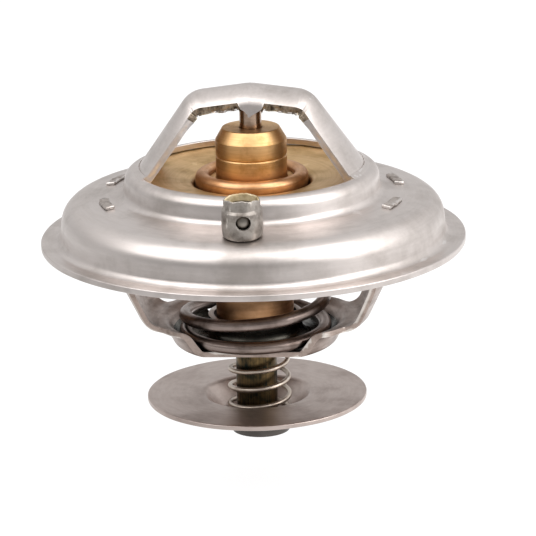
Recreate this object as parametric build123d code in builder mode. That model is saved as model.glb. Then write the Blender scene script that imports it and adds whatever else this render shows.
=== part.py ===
"""Engine thermostat with a bridge over the valve, a lower frame, a main spring and a bypass disc.

Millimetres. +Z points up through the piston, towards the bridge. The origin is the centre of the flange
rim's underside. +X runs along the bridge and the lower frame's legs, and -Y points at the vent cage.
"""

from build123d import *
import os
from math import atan2, cos, degrees, pi, radians, sin, sqrt, tan

os.makedirs("parts", exist_ok=True)

# Clearances
running_gap = 0.05
seat_gap = 0.10
packed_gap = 0.05
bridge_seat_gap = 0.15
slot_gap = 0.10

# Flange: one pressed sheet, from the rim up to the seat ring
sheet = 1.0
rim_edge_round = 0.25
rim_width = 3.0
dome_foot_round = 1.3
dome_wall_lean = 0.6
shoulder_width = 1.9
shoulder_height = 0.6
shoulder_round = 2.4
annulus_outer_z = 7.2
annulus_slope = 7.0
ring_foot_r = 20.3
ring_foot_round = 1.2
ring_wall_lean = 0.45
ring_height = 12.1
ring_round = 1.7
lip_width = 1.85

# Bridge: an arched strap of the same sheet
bridge_clearance = 6.92
bridge_sheet = 1.1
crest_slope = 7.3
crest_round = 6.0
shoulder_x = 9.47
bend_round = 4.4
foot_inset = 0.85
leg_sink = 0.6
leg_bury = 0.3
strap_half_width = 4.2
foot_half_width = 8.2
arch_drop = 1.9
foot_arch_drop = 1.45
tongue_half_width = 2.0
tongue_drop = 4.52
tongue_point = 1.4
tongue_y = 4.2
tongue_lean = 0.5
tongue_round = 1.3
tongue_root_y = 2.6
tongue_root_rise = 0.4
tongue_bend_drop = 0.9
tongue_corner_round = 0.5
tongue_tip_round = 0.6
crest_steps = 5
bend_steps = 6

# Lower frame: one pressed strip with a round pocket and a neck round the element
frame_sheet = 0.85
frame_half_width = 9.65
frame_bottom = -16.35
frame_hole_clearance = 0.45
neck_height = 4.45
neck_round = 2.85
pocket_clearance = 0.75
pocket_lean = 1.55
pocket_flange_width = 0.9
pocket_round = 1.2
pocket_depth = 3.2
shelf_width = 3.3
shelf_round = 1.0
shelf_bend = 3.0
leg_bend_in = 3.1
leg_bend_z = -6.6
leg_bend = 10.0
tab_reach = 3.6
leg_straight_z = 4.0
leg_neck_half_width = 6.8
leg_neck_z = -10.0
leg_wide_z = 3.0
tab_inner_y = 4.9
tab_proud = 0.8
tab_head = 1.7

# Valve plate with its hub
plate_sheet = 0.7
seat_overlap = 0.5
plate_dish_r = 12.6
plate_dish_depth = 0.6
plate_dish_round = 3.0
plate_inner_fall = 0.5
hub_clearance = 0.9
hub_depth = 4.9
hub_round = 1.2
hub_foot_round = 0.5

# Wax element
cup_sheet = 0.8
cup_body_r = 6.15
cup_bottom_drop = 0.15
cup_head_r = 8.9
cup_rise = 0.6
curl_clearance = 1.05
curl_round = 1.1
curl_depth = 1.15
cup_round = 1.0
head_neck_round = 0.4
guide_r = 5.6
guide_reach = 6.9
guide_chamfer = 1.1
guide_chamfer_height = 1.9
guide_groove_reach = 2.45
guide_groove_size = 0.12
guide_flange_drop = 2.6
seal_r = 3.0
seal_height = 1.6
seal_round = 0.3
back_up_height = 0.8
boot_r = 2.9
boot_end_height = 4.0
boot_floor = 1.2
boot_chamfer = 0.3
piston_r = 1.73
piston_squeeze = 1.8
piston_chamfer = 0.6

# Bypass valve
stem_r = 3.25
stem_tail = 0.3
stem_chamfer = 0.3
spigot_r = 2.0
spigot_head_r = 3.0
spigot_head_height = 0.6
disc_sheet = 0.75
disc_r = 17.5
bypass_length = 8.6
recess_top_r = 8.4
recess_floor_r = 5.9
recess_depth = 3.3
recess_top_round = 1.2
recess_round = 0.6
washer_r = 4.9
washer_height = 1.0
washer_chamfer = 0.15
washer_offset = 0.5
clip_r = 4.6
clip_height = 1.15
clip_groove_r = 2.5
clip_gap_half_width = 5.0

# Springs
main_wire_r = 1.0
main_coil_r = 11.1
main_pitch = 5.6
main_end_turns = 1.15
main_phase = 175.0
coil_steps = 64
bypass_wire_r = 0.35
bypass_coil_top_r = 4.4
bypass_coil_bottom_r = 4.88
bypass_pitch = 2.93
bypass_phase = 12.0
bypass_shift = 0.4

# Vent: a riveted cage with a loose ball
vent_turn = 0.8
vent_ring_gap = 0.65
vent_shoulder_gap = 0.95
cage_sheet = 0.45
cage_r = 3.05
cage_neck_r = 2.75
cage_fold_z = 4.5
cage_height = 6.1
cage_window_r = 1.15
cage_window_z = 3.1
cage_window_turn = 6.8
cage_scallops = 6
cage_scallop_r = 0.9
rivet_r = 2.3
rivet_flare_r = 3.1
vent_bore_r = 1.5
ball_r = 2.35

# Places worked out from the sizes above
vent_r = ring_foot_r + vent_ring_gap + cage_r
dome_shoulder_r = vent_r + cage_r + vent_shoulder_gap
dome_top_r = dome_shoulder_r + shoulder_width
dome_foot_r = dome_top_r + dome_wall_lean
rim_r = dome_foot_r + rim_width
dome_wall_top = annulus_outer_z - shoulder_height
annulus_fall = tan(radians(annulus_slope))
annulus_inner_z = annulus_outer_z + (dome_shoulder_r - ring_foot_r) * annulus_fall
ring_top_r = ring_foot_r - ring_wall_lean
opening_r = ring_top_r - lip_width
lip_underside = ring_height - sheet
ring_bore_r = ring_top_r - sheet
plate_r = opening_r + seat_overlap
plate_top_z = lip_underside - seat_gap
plate_inner_z = plate_top_z - plate_dish_depth - plate_inner_fall
hub_r = cup_head_r + hub_clearance
hub_floor_z = plate_inner_z - hub_depth
cup_top = plate_top_z + cup_rise
curl_inner_r = guide_r + curl_clearance
guide_top = cup_top + guide_reach
guide_top_r = guide_r - guide_chamfer
guide_groove_z = cup_top + guide_groove_reach
guide_flange_z = cup_top - guide_flange_drop
bridge_height = guide_top + bridge_clearance
cup_bottom = frame_bottom - cup_bottom_drop
boot_end = cup_bottom + boot_end_height
piston_bottom = boot_end + boot_floor + piston_squeeze
disc_top = cup_bottom - bypass_length
pocket_floor_r = main_coil_r + main_wire_r + pocket_clearance
pocket_rim_r = pocket_floor_r + pocket_lean
pocket_flange_r = pocket_rim_r + pocket_flange_width
shelf_z = frame_bottom + pocket_depth
shelf_r = pocket_rim_r + shelf_width
neck_top_z = frame_bottom + neck_height
leg_top_r = ring_foot_r + tab_reach
leg_bend_r = leg_top_r - leg_bend_in


def annulus_z(radius: float) -> float:
    """Height of the annulus's upper surface at a radius."""
    return annulus_outer_z + (dome_shoulder_r - radius) * annulus_fall


# Bridge path along the crest of the strap, from foot to foot
apex_z = bridge_height + crest_round * (1 / cos(radians(crest_slope)) - 1)
shoulder_z = apex_z - shoulder_x * tan(radians(crest_slope))
foot_z = lip_underside - leg_sink
foot_x = ring_top_r - foot_inset
leg_angle = degrees(atan2(shoulder_z - foot_z, foot_x - shoulder_x))
tongue_tip_z = bridge_height - tongue_drop
tongue_shoulder_z = tongue_tip_z + tongue_point
with BuildLine(Plane.XZ) as bridge_path:
    FilletPolyline(
        (-foot_x, foot_z),
        (-shoulder_x, shoulder_z),
        (0, apex_z),
        (shoulder_x, shoulder_z),
        (foot_x, foot_z),
        radius=[bend_round, crest_round, bend_round],
    )
crest = bridge_path.wires()[0]
half_length = crest.length / 2
bend_turn = radians(leg_angle - crest_slope)
bend_start = shoulder_x / cos(radians(crest_slope)) - bend_round * tan(bend_turn / 2)
bend_end = bend_start + bend_round * bend_turn
crest_stations = [bend_start * step / crest_steps for step in range(crest_steps)]
bend_stations = [bend_start + (bend_end - bend_start) * step / bend_steps for step in range(bend_steps + 1)]
stations = crest_stations + bend_stations + [half_length]
station_distances = [-d for d in reversed(stations[1:])] + stations


def between(middle: float, foot: float, distance: float) -> float:
    """Value that holds over the strap's top and goes evenly to another one at its feet."""
    past_bend = max(0.0, distance - bend_start) / (half_length - bend_start)
    return middle + (foot - middle) * past_bend


# flange_and_bridge
with BuildPart() as bridge_strap:
    for distance in station_distances:
        along = (half_length + distance) / crest.length
        station_plane = Plane(origin=crest @ along, x_dir=(0, 1, 0), z_dir=crest % along)
        half_width = between(strap_half_width, foot_half_width, abs(distance))
        drop = between(arch_drop, foot_arch_drop, abs(distance))
        with BuildSketch(station_plane):
            with BuildLine():
                outer = ThreePointArc((-half_width, -drop), (0, 0), (half_width, -drop))
                inner = ThreePointArc(
                    (-half_width, -drop - bridge_sheet),
                    (0, -bridge_sheet),
                    (half_width, -drop - bridge_sheet),
                )
                Line(outer @ 0, inner @ 0)
                Line(outer @ 1, inner @ 1)
            make_face()
    loft(ruled=True)
    with BuildSketch(Plane.XY.offset(lip_underside + leg_bury)):
        Circle(ring_bore_r + leg_bury)
    extrude(amount=foot_z - ring_height - ring_round, mode=Mode.SUBTRACT)

with BuildPart() as tongue:
    with BuildSketch(Plane.YZ):
        with BuildLine():
            FilletPolyline(
                (-tongue_root_y, bridge_height - arch_drop + tongue_root_rise),
                (-tongue_y, bridge_height - arch_drop - tongue_bend_drop),
                (-tongue_y + tongue_lean, tongue_tip_z),
                radius=[tongue_round],
            )
            offset(amount=bridge_sheet, side=Side.LEFT)
        make_face()
    extrude(amount=tongue_half_width, both=True)
    with BuildSketch(Plane.XZ):
        with BuildLine():
            FilletPolyline(
                (-tongue_half_width, bridge_height),
                (-tongue_half_width, tongue_shoulder_z),
                (0, tongue_tip_z),
                (tongue_half_width, tongue_shoulder_z),
                (tongue_half_width, bridge_height),
                radius=[tongue_corner_round, tongue_tip_round, tongue_corner_round],
            )
            Line((-tongue_half_width, bridge_height), (tongue_half_width, bridge_height))
        make_face()
    extrude(amount=tongue_y + bridge_sheet, both=True, mode=Mode.INTERSECT)

vent_base_z = annulus_z(vent_r)
vent_out = Vector(sin(radians(vent_turn)), -cos(radians(vent_turn)), 0)
vent_axis = vent_out * sin(radians(annulus_slope)) + Vector(0, 0, cos(radians(annulus_slope)))
vent_plane = Plane(
    origin=vent_out * vent_r + Vector(0, 0, vent_base_z),
    x_dir=(cos(radians(vent_turn)), sin(radians(vent_turn)), 0),
    z_dir=vent_axis,
)
vent_section = Plane(origin=vent_plane.origin, x_dir=vent_plane.x_dir, z_dir=-vent_plane.y_dir)
slot_r = leg_top_r - frame_sheet / 2

with BuildPart() as flange_and_bridge:
    with BuildSketch(Plane.XZ):
        with BuildLine():
            FilletPolyline(
                (rim_r, sheet),
                (dome_foot_r, sheet),
                (dome_top_r, dome_wall_top),
                (dome_shoulder_r, annulus_outer_z),
                (ring_foot_r, annulus_inner_z),
                (ring_top_r, ring_height),
                (opening_r, ring_height),
                radius=[dome_foot_round, shoulder_round, 0, ring_foot_round, ring_round],
            )
            offset(amount=sheet, side=Side.LEFT)
        make_face()
    revolve(axis=Axis.Z)
    circles = flange_and_bridge.edges().filter_by(GeomType.CIRCLE)
    rim_edges = circles.filter_by(lambda edge: abs(edge.radius - rim_r) < rim_edge_round)
    fillet(rim_edges.sort_by(Axis.Z)[-1], rim_edge_round)
    add(bridge_strap.part)
    add(tongue.part)
    add(mirror(tongue.part, about=Plane.XZ, mode=Mode.PRIVATE))
    with BuildSketch(Plane.XY) as tab_slots:
        Circle(slot_r + frame_sheet / 2 + slot_gap)
        Circle(slot_r - frame_sheet / 2 - slot_gap, mode=Mode.SUBTRACT)
        tab_middle_y = (tab_inner_y + frame_half_width) / 2
        with GridLocations(0, 2 * tab_middle_y, 1, 2):
            Rectangle(
                2 * rim_r,
                frame_half_width - tab_inner_y + 2 * slot_gap,
                mode=Mode.INTERSECT,
            )
    extrude(amount=ring_height, mode=Mode.SUBTRACT)
    with BuildSketch(vent_plane.offset(-2 * sheet)):
        Circle(rivet_r + slot_gap)
    extrude(amount=4 * sheet, mode=Mode.SUBTRACT)
flange_and_bridge.part.label = "flange_and_bridge"
export_step(flange_and_bridge.part, "parts/flange_and_bridge.step")

# lower_frame
frame_floor_z = frame_bottom + frame_sheet
frame_hole_r = cup_body_r + frame_hole_clearance
tab_foot_z = annulus_z(leg_top_r) - sheet / cos(radians(annulus_slope)) - packed_gap
tab_top_z = annulus_z(leg_top_r) + tab_proud
head_inner_r = slot_r - tab_head / 2
head_outer_r = slot_r + tab_head / 2
with BuildPart() as leg_trim:
    with BuildSketch(Plane.YZ):
        with BuildLine():
            Polyline(
                (2 * frame_half_width, frame_bottom),
                (leg_neck_half_width, frame_bottom),
                (leg_neck_half_width, leg_neck_z),
                (frame_half_width, leg_wide_z),
                (2 * frame_half_width, leg_wide_z),
                close=True,
            )
        make_face()
        mirror(about=Plane.YZ)
    extrude(amount=rim_r, both=True)
    with BuildSketch(Plane.XY.offset(frame_bottom)):
        Circle(pocket_flange_r)
    extrude(amount=leg_neck_z - frame_bottom, mode=Mode.SUBTRACT)

with BuildPart() as lower_frame:
    with BuildSketch(Plane.XZ):
        with BuildLine():
            FilletPolyline(
                (frame_hole_r, neck_top_z),
                (frame_hole_r, frame_bottom),
                (pocket_floor_r, frame_bottom),
                (pocket_rim_r, shelf_z),
                (shelf_r, shelf_z),
                (leg_bend_r, leg_bend_z),
                (leg_top_r, leg_straight_z),
                (leg_top_r, tab_top_z),
                radius=[neck_round, pocket_round, shelf_round, shelf_bend, leg_bend, leg_bend],
            )
            offset(amount=frame_sheet, side=Side.LEFT)
        make_face()
        with BuildLine():
            Polyline(
                (head_inner_r, annulus_z(head_inner_r) + packed_gap),
                (head_outer_r, annulus_z(head_outer_r) + packed_gap),
                (head_outer_r, annulus_z(head_outer_r) + tab_proud),
                (head_inner_r, annulus_z(head_inner_r) + tab_proud),
                close=True,
            )
        make_face()
    revolve(axis=Axis.Z)
    with BuildSketch(Plane.XY.offset(frame_bottom)):
        Rectangle(2 * rim_r, 2 * frame_half_width)
    extrude(amount=tab_top_z - frame_bottom + sheet, mode=Mode.INTERSECT)
    with BuildSketch(Plane.XY.offset(tab_foot_z)):
        Rectangle(2 * rim_r, 2 * tab_inner_y)
    extrude(amount=tab_top_z, mode=Mode.SUBTRACT)
    add(leg_trim.part, mode=Mode.SUBTRACT)
lower_frame.part.label = "lower_frame"
export_step(lower_frame.part, "parts/lower_frame.step")

# piston
piston_top = bridge_height - bridge_sheet - bridge_seat_gap
with BuildPart() as piston:
    with BuildSketch(Plane.XY.offset(piston_bottom)):
        Circle(piston_r)
    extrude(amount=piston_top - piston_bottom)
    chamfer(piston.edges().filter_by(GeomType.CIRCLE), piston_chamfer)
piston.part.label = "piston"
export_step(piston.part, "parts/piston.step")

# vent_cage
cage_floor_z = cage_sheet + packed_gap
rivet_seat_z = -sheet - packed_gap
window_way = (-vent_plane.y_dir).rotate(Axis((0, 0, 0), vent_axis), cage_window_turn)
with BuildPart() as vent_cage:
    with BuildSketch(vent_section):
        with BuildLine():
            Polyline(
                (vent_bore_r, rivet_seat_z - cage_sheet),
                (rivet_flare_r, rivet_seat_z - cage_sheet),
                (rivet_flare_r, rivet_seat_z),
                (rivet_r, rivet_seat_z),
                (rivet_r, packed_gap),
                (cage_r, packed_gap),
                (cage_r, cage_fold_z),
                (cage_neck_r, cage_fold_z + cage_r - cage_neck_r),
                (cage_neck_r, cage_height),
                (cage_neck_r - cage_sheet, cage_height),
                (cage_neck_r - cage_sheet, cage_fold_z + cage_r - cage_neck_r),
                (cage_r - cage_sheet, cage_fold_z),
                (cage_r - cage_sheet, cage_floor_z),
                (vent_bore_r, cage_floor_z),
                close=True,
            )
        make_face()
    revolve(axis=Axis(vent_plane.origin, vent_axis))
    with BuildSketch(Plane(origin=vent_plane.offset(cage_window_z).origin, z_dir=window_way)):
        Circle(cage_window_r)
    extrude(amount=2 * cage_r, mode=Mode.SUBTRACT)
    with Locations(vent_plane.offset(cage_height).location):
        with PolarLocations(cage_neck_r, cage_scallops):
            Cylinder(cage_scallop_r, 2 * cage_neck_r, rotation=(0, 90, 0), mode=Mode.SUBTRACT)
vent_cage.part.label = "vent_cage"
export_step(vent_cage.part, "parts/vent_cage.step")

# vent_ball
ball_z = cage_floor_z + sqrt(ball_r**2 - vent_bore_r**2) + seat_gap
with BuildPart() as vent_ball:
    with Locations(vent_plane.offset(ball_z).location):
        Sphere(ball_r)
vent_ball.part.label = "vent_ball"
export_step(vent_ball.part, "parts/vent_ball.step")

# valve_plate
hub_bore_r = hub_r - plate_sheet
hub_seat_z = hub_floor_z + plate_sheet
with BuildPart() as valve_plate:
    with BuildSketch(Plane.XZ):
        with BuildLine():
            FilletPolyline(
                (plate_r, plate_top_z),
                (plate_dish_r, plate_top_z - plate_dish_depth),
                (hub_bore_r, plate_inner_z),
                (hub_bore_r, hub_seat_z),
                (cup_body_r + head_neck_round + seat_gap, hub_seat_z),
                radius=[plate_dish_round, hub_round, hub_foot_round],
            )
            offset(amount=plate_sheet, side=Side.LEFT)
        make_face()
    revolve(axis=Axis.Z)
valve_plate.part.label = "valve_plate"
export_step(valve_plate.part, "parts/valve_plate.step")

# element_cup
head_bottom = hub_seat_z + packed_gap
head_floor = head_bottom + cup_sheet
head_bore_r = cup_head_r - cup_sheet
with BuildPart() as element_cup:
    with BuildSketch(Plane.XZ):
        with BuildLine():
            FilletPolyline(
                (spigot_r + packed_gap, cup_bottom),
                (cup_body_r, cup_bottom),
                (cup_body_r, head_bottom),
                (cup_head_r, head_bottom),
                (cup_head_r, cup_top),
                (curl_inner_r, cup_top),
                (curl_inner_r, cup_top - curl_depth),
                radius=[cup_round, head_neck_round, cup_round, curl_round, curl_round],
            )
            offset(amount=cup_sheet, side=Side.LEFT)
        make_face()
    revolve(axis=Axis.Z)
element_cup.part.label = "element_cup"
export_step(element_cup.part, "parts/element_cup.step")

# piston_guide
piston_bore_r = piston_r + running_gap
guide_flange_top = cup_top - curl_depth - packed_gap
with BuildPart() as piston_guide:
    with BuildSketch(Plane.XZ):
        with BuildLine():
            Polyline(
                (piston_bore_r, guide_top),
                (guide_top_r, guide_top),
                (guide_r, guide_top - guide_chamfer_height),
                (guide_r, guide_groove_z + guide_groove_size),
                (guide_r - guide_groove_size, guide_groove_z),
                (guide_r, guide_groove_z - guide_groove_size),
                (guide_r, guide_flange_top),
                (head_bore_r - packed_gap, guide_flange_top),
                (head_bore_r - packed_gap, guide_flange_z),
                (seal_r, guide_flange_z),
                (seal_r, guide_flange_z + seal_height + packed_gap),
                (piston_bore_r, guide_flange_z + seal_height + packed_gap),
                close=True,
            )
        make_face()
    revolve(axis=Axis.Z)
piston_guide.part.label = "piston_guide"
export_step(piston_guide.part, "parts/piston_guide.step")

# piston_seal
with BuildPart() as piston_seal:
    with BuildSketch(Plane.XY.offset(guide_flange_z)):
        Circle(seal_r - packed_gap)
        Circle(piston_bore_r, mode=Mode.SUBTRACT)
    extrude(amount=seal_height)
    fillet(piston_seal.edges().filter_by(GeomType.CIRCLE), seal_round)
piston_seal.part.label = "piston_seal"
export_step(piston_seal.part, "parts/piston_seal.step")

# back_up_ring
with BuildPart() as back_up_ring:
    with BuildSketch(Plane.XY.offset(guide_flange_z - back_up_height)):
        Circle(head_bore_r - packed_gap)
        Circle(piston_bore_r, mode=Mode.SUBTRACT)
    extrude(amount=back_up_height)
back_up_ring.part.label = "back_up_ring"
export_step(back_up_ring.part, "parts/back_up_ring.step")

# rubber_boot
boot_top = guide_flange_z - back_up_height
with BuildPart() as rubber_boot:
    with BuildSketch(Plane.XY.offset(head_floor + packed_gap)):
        Circle(head_bore_r - packed_gap)
    extrude(amount=boot_top - head_floor - packed_gap)
    chamfer(rubber_boot.faces().sort_by(Axis.Z)[0].edges(), boot_chamfer)
    with BuildSketch(Plane.XY.offset(boot_end)):
        Circle(boot_r)
    extrude(amount=boot_top - boot_end)
    with BuildSketch(Plane.XY.offset(boot_end + boot_floor)):
        Circle(piston_bore_r)
    extrude(amount=boot_top - boot_end, mode=Mode.SUBTRACT)
rubber_boot.part.label = "rubber_boot"
export_step(rubber_boot.part, "parts/rubber_boot.step")

# wax_charge
wax_bottom = cup_bottom + cup_sheet + spigot_head_height + packed_gap
with BuildPart() as wax_charge:
    with BuildSketch(Plane.XY.offset(wax_bottom)):
        Circle(cup_body_r - cup_sheet - packed_gap)
    extrude(amount=head_floor - wax_bottom)
    with BuildSketch(Plane.XY.offset(boot_end - packed_gap)):
        Circle(boot_r + packed_gap)
    extrude(amount=head_floor - boot_end + packed_gap, mode=Mode.SUBTRACT)
wax_charge.part.label = "wax_charge"
export_step(wax_charge.part, "parts/wax_charge.step")

# bypass_disc
recess_floor_top = disc_top - recess_depth
recess_underside = recess_floor_top - disc_sheet
with BuildPart() as bypass_disc:
    with BuildSketch(Plane.XZ):
        with BuildLine():
            FilletPolyline(
                (disc_r, disc_top),
                (recess_top_r, disc_top),
                (recess_floor_r, recess_floor_top),
                (stem_r + running_gap, recess_floor_top),
                radius=[recess_top_round, recess_round],
            )
            offset(amount=disc_sheet, side=Side.LEFT)
        make_face()
    revolve(axis=Axis.Z)
bypass_disc.part.label = "bypass_disc"
export_step(bypass_disc.part, "parts/bypass_disc.step")

# stem_washer
washer_top = recess_underside - packed_gap
washer_bottom = washer_top - washer_height
with BuildPart() as stem_washer:
    with BuildSketch(Plane.XY.offset(washer_bottom)):
        with Locations((washer_offset, 0)):
            Circle(washer_r)
            Circle(stem_r + washer_offset + running_gap, mode=Mode.SUBTRACT)
    extrude(amount=washer_height)
    chamfer(stem_washer.edges().group_by(SortBy.LENGTH)[-1], washer_chamfer)
stem_washer.part.label = "stem_washer"
export_step(stem_washer.part, "parts/stem_washer.step")

# stem_clip
clip_bottom = washer_bottom - clip_height
with BuildPart() as stem_clip:
    with BuildSketch(Plane.XY.offset(clip_bottom)):
        with Locations((washer_offset, 0)):
            Circle(clip_r)
        Circle(clip_groove_r + packed_gap, mode=Mode.SUBTRACT)
        with BuildLine():
            Polyline(
                (0, 0),
                (clip_gap_half_width, 2 * clip_r),
                (-clip_gap_half_width, 2 * clip_r),
                close=True,
            )
        make_face(mode=Mode.SUBTRACT)
    extrude(amount=clip_height - packed_gap)
stem_clip.part.label = "stem_clip"
export_step(stem_clip.part, "parts/stem_clip.step")

# bypass_stem
stem_bottom = clip_bottom - stem_tail
with BuildPart() as bypass_stem:
    with BuildSketch(Plane.XZ):
        with BuildLine():
            Polyline(
                (0, stem_bottom),
                (stem_r - stem_chamfer, stem_bottom),
                (stem_r, stem_bottom + stem_chamfer),
                (stem_r, clip_bottom - packed_gap),
                (clip_groove_r, clip_bottom - packed_gap),
                (clip_groove_r, washer_bottom),
                (stem_r, washer_bottom),
                (stem_r, cup_bottom),
                (spigot_r, cup_bottom),
                (spigot_r, cup_bottom + cup_sheet),
                (spigot_head_r, cup_bottom + cup_sheet),
                (spigot_head_r, cup_bottom + cup_sheet + spigot_head_height),
                (0, cup_bottom + cup_sheet + spigot_head_height),
                close=True,
            )
        make_face()
    revolve(axis=Axis.Z)
bypass_stem.part.label = "bypass_stem"
export_step(bypass_stem.part, "parts/bypass_stem.step")


# main_spring: flat end turns that open evenly into the turns between them
main_spring_top = plate_inner_z - plate_sheet - packed_gap
main_rise = main_spring_top - frame_floor_z - 2 * main_wire_r
main_turns = main_end_turns + main_rise / main_pitch


def eased_turns(turns: float) -> float:
    """Turns at full pitch that rise as far as this many turns from the flat end of the main spring."""
    if turns < main_end_turns:
        return turns / 2 - main_end_turns / (2 * pi) * sin(pi * turns / main_end_turns)
    return turns - main_end_turns / 2


coil_points = []
for step in range(coil_steps + 1):
    turns = main_turns * step / coil_steps
    if step < coil_steps / 2:
        rise = main_pitch * eased_turns(turns)
    else:
        rise = main_rise - main_pitch * eased_turns(main_turns - turns)
    coil_angle = radians(main_phase + 360 * turns)
    coil_z = frame_floor_z + main_wire_r + rise
    coil_points.append((main_coil_r * cos(coil_angle), main_coil_r * sin(coil_angle), coil_z))
with BuildPart() as main_spring:
    with BuildLine() as main_coil:
        Spline(coil_points)
    with BuildSketch(Plane(origin=main_coil.line @ 0, z_dir=main_coil.line % 0)):
        Circle(main_wire_r)
    sweep(path=main_coil.wires()[0], is_frenet=True)
main_spring.part.label = "main_spring"
export_step(main_spring.part, "parts/main_spring.step")

# bypass_spring: a tapered coil with ground ends
bypass_height = cup_bottom - recess_floor_top
bypass_taper = degrees(atan2(bypass_coil_top_r - bypass_coil_bottom_r, bypass_height))
bypass_turns = Edge.make_helix(bypass_pitch, bypass_height, bypass_coil_bottom_r, angle=bypass_taper)
bypass_line = bypass_turns.rotate(Axis.Z, bypass_phase).moved(Pos(bypass_shift, 0, recess_floor_top))
with BuildPart() as bypass_spring:
    with BuildSketch(Plane(origin=bypass_line @ 0, z_dir=bypass_line % 0)):
        Circle(bypass_wire_r)
    sweep(path=bypass_line, is_frenet=True)
    with BuildSketch(Plane.XY.offset(recess_floor_top)):
        Circle(disc_r)
    extrude(amount=bypass_height, mode=Mode.INTERSECT)
bypass_spring.part.label = "bypass_spring"
export_step(bypass_spring.part, "parts/bypass_spring.step")
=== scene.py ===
"""Looks of an engine thermostat: pressed steel, turned brass, drawn copper and spring wire.

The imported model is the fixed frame. Each class below is one sub-assembly: its fields are real sizes in
millimetres, its methods build the meshes, and dress() gives them to the bodies of the frame.
+Z points up through the piston, +X runs along the bridge, and -Y points at the vent cage.
"""

import logging
import math
from collections.abc import Callable, Sequence
from dataclasses import dataclass, field
from enum import Enum, IntEnum

import bmesh
import bpy
from mathutils import Matrix, Vector, noise

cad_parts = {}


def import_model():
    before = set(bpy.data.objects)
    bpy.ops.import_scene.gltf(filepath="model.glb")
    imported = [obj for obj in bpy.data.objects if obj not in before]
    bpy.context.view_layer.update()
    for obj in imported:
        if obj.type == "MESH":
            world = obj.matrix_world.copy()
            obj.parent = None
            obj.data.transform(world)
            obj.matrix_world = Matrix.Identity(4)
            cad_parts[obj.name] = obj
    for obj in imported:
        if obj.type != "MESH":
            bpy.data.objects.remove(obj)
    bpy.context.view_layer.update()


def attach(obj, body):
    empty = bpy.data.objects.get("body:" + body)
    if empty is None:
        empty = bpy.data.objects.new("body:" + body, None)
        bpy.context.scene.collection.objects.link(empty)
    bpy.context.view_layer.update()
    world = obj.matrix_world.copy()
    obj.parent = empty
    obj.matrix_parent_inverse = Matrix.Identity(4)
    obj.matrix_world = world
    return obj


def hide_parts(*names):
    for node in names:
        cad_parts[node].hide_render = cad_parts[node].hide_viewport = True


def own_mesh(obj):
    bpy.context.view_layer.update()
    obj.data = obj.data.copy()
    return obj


MM = 0.001
ARC_STEP = math.radians(9)
SHARP_ANGLE = math.radians(38)
LATHE_STEPS = 224
AXIS_R = 0.02  # a turned section stops just short of the axis

log = logging.getLogger("thermostat")

Material = bpy.types.Material
Piece = bpy.types.Object
Tree = bpy.types.NodeTree
Socket = bpy.types.NodeSocket
Place = Sequence[float]
Ripple = Callable[[float, float, float], tuple[float, float]]


def linear(colour: str) -> tuple[float, float, float, float]:
    """Linear RGBA of an sRGB hex colour, written as "#rrggbb"."""
    channels = [int(colour[i : i + 2], 16) / 255 for i in (1, 3, 5)]
    return (*[c / 12.92 if c <= 0.04045 else ((c + 0.055) / 1.055) ** 2.4 for c in channels], 1.0)


def ease(value: float, low: float, high: float) -> float:
    """Smooth step from 0 at low to 1 at high."""
    share = min(1.0, max(0.0, (value - low) / (high - low)))
    return share * share * (3 - 2 * share)


def rough_at(x: float, y: float, z: float) -> float:
    """Noise between about -1 and 1 at a point."""
    return noise.noise(Vector((x, y, z)))


def polar(radius: float, angle: float, height: float = 0.0) -> Vector:
    """Point at a radius, an angle round the axis and a height."""
    return Vector((radius * math.cos(angle), radius * math.sin(angle), height))


def corner_arc(before: Vector, corner: Vector, after: Vector, radius: float) -> list[Vector]:
    """Points that round one corner of a flat outline.

    Args:
        before: The point before the corner.
        corner: The corner itself.
        after: The point after it.
        radius: The radius of the arc, or 0 to keep the corner.

    Returns:
        The arc's points, or the corner alone.
    """
    back = (before - corner).normalized()
    ahead = (after - corner).normalized()
    turn = math.pi - back.angle(ahead)
    if radius <= 0 or turn < 1e-3:
        return [corner]
    spoke_start = corner + back * radius * math.tan(turn / 2)
    centre = corner + (back + ahead).normalized() * radius / math.cos(turn / 2)
    sweep = math.copysign(turn, -back.cross(ahead))
    steps = max(2, math.ceil(turn / ARC_STEP))
    spoke = spoke_start - centre
    return [centre + Matrix.Rotation(sweep * i / steps, 2) @ spoke for i in range(steps + 1)]


def rounded_path(points: Sequence[Place], radii: Sequence[float]) -> list[Vector]:
    """Open outline with its inner corners rounded.

    Args:
        points: The outline's corners.
        radii: One radius for each inner corner.

    Returns:
        The rounded outline.
    """
    corners = [Vector(p) for p in points]
    path = [corners[0]]
    for before, corner, after, radius in zip(corners, corners[1:], corners[2:], radii):
        path += corner_arc(before, corner, after, radius)
    return [*path, corners[-1]]


def resampled(path: Sequence[Vector], step: float) -> list[Vector]:
    """Path with points added, so that its ripples can follow the surface.

    Args:
        path: The path's points, which all stay.
        step: The distance wanted between points, in millimetres.

    Returns:
        The finer path.
    """
    fine = [path[0]]
    for point in path[1:]:
        start, steps = fine[-1], max(1, round((point - fine[-1]).length / step))
        fine += [start.lerp(point, (i + 1) / steps) for i in range(steps)]
    return fine


def left_of(path: Sequence[Vector], distance: float) -> list[Vector]:
    """The same outline moved to its left side, as the other face of a sheet.

    Args:
        path: The outline's points.
        distance: How far it moves, in millimetres.

    Returns:
        The moved outline.
    """
    moved = []
    last = len(path) - 1
    for i, point in enumerate(path):
        ahead = (path[min(i + 1, last)] - path[min(i, last - 1)]).normalized()
        back = (path[max(i, 1)] - path[max(i - 1, 0)]).normalized()
        middle = (ahead + back).normalized()
        moved.append(point + Vector((-middle.y, middle.x)) * distance / max(0.3, middle.dot(ahead)))
    return moved


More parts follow.
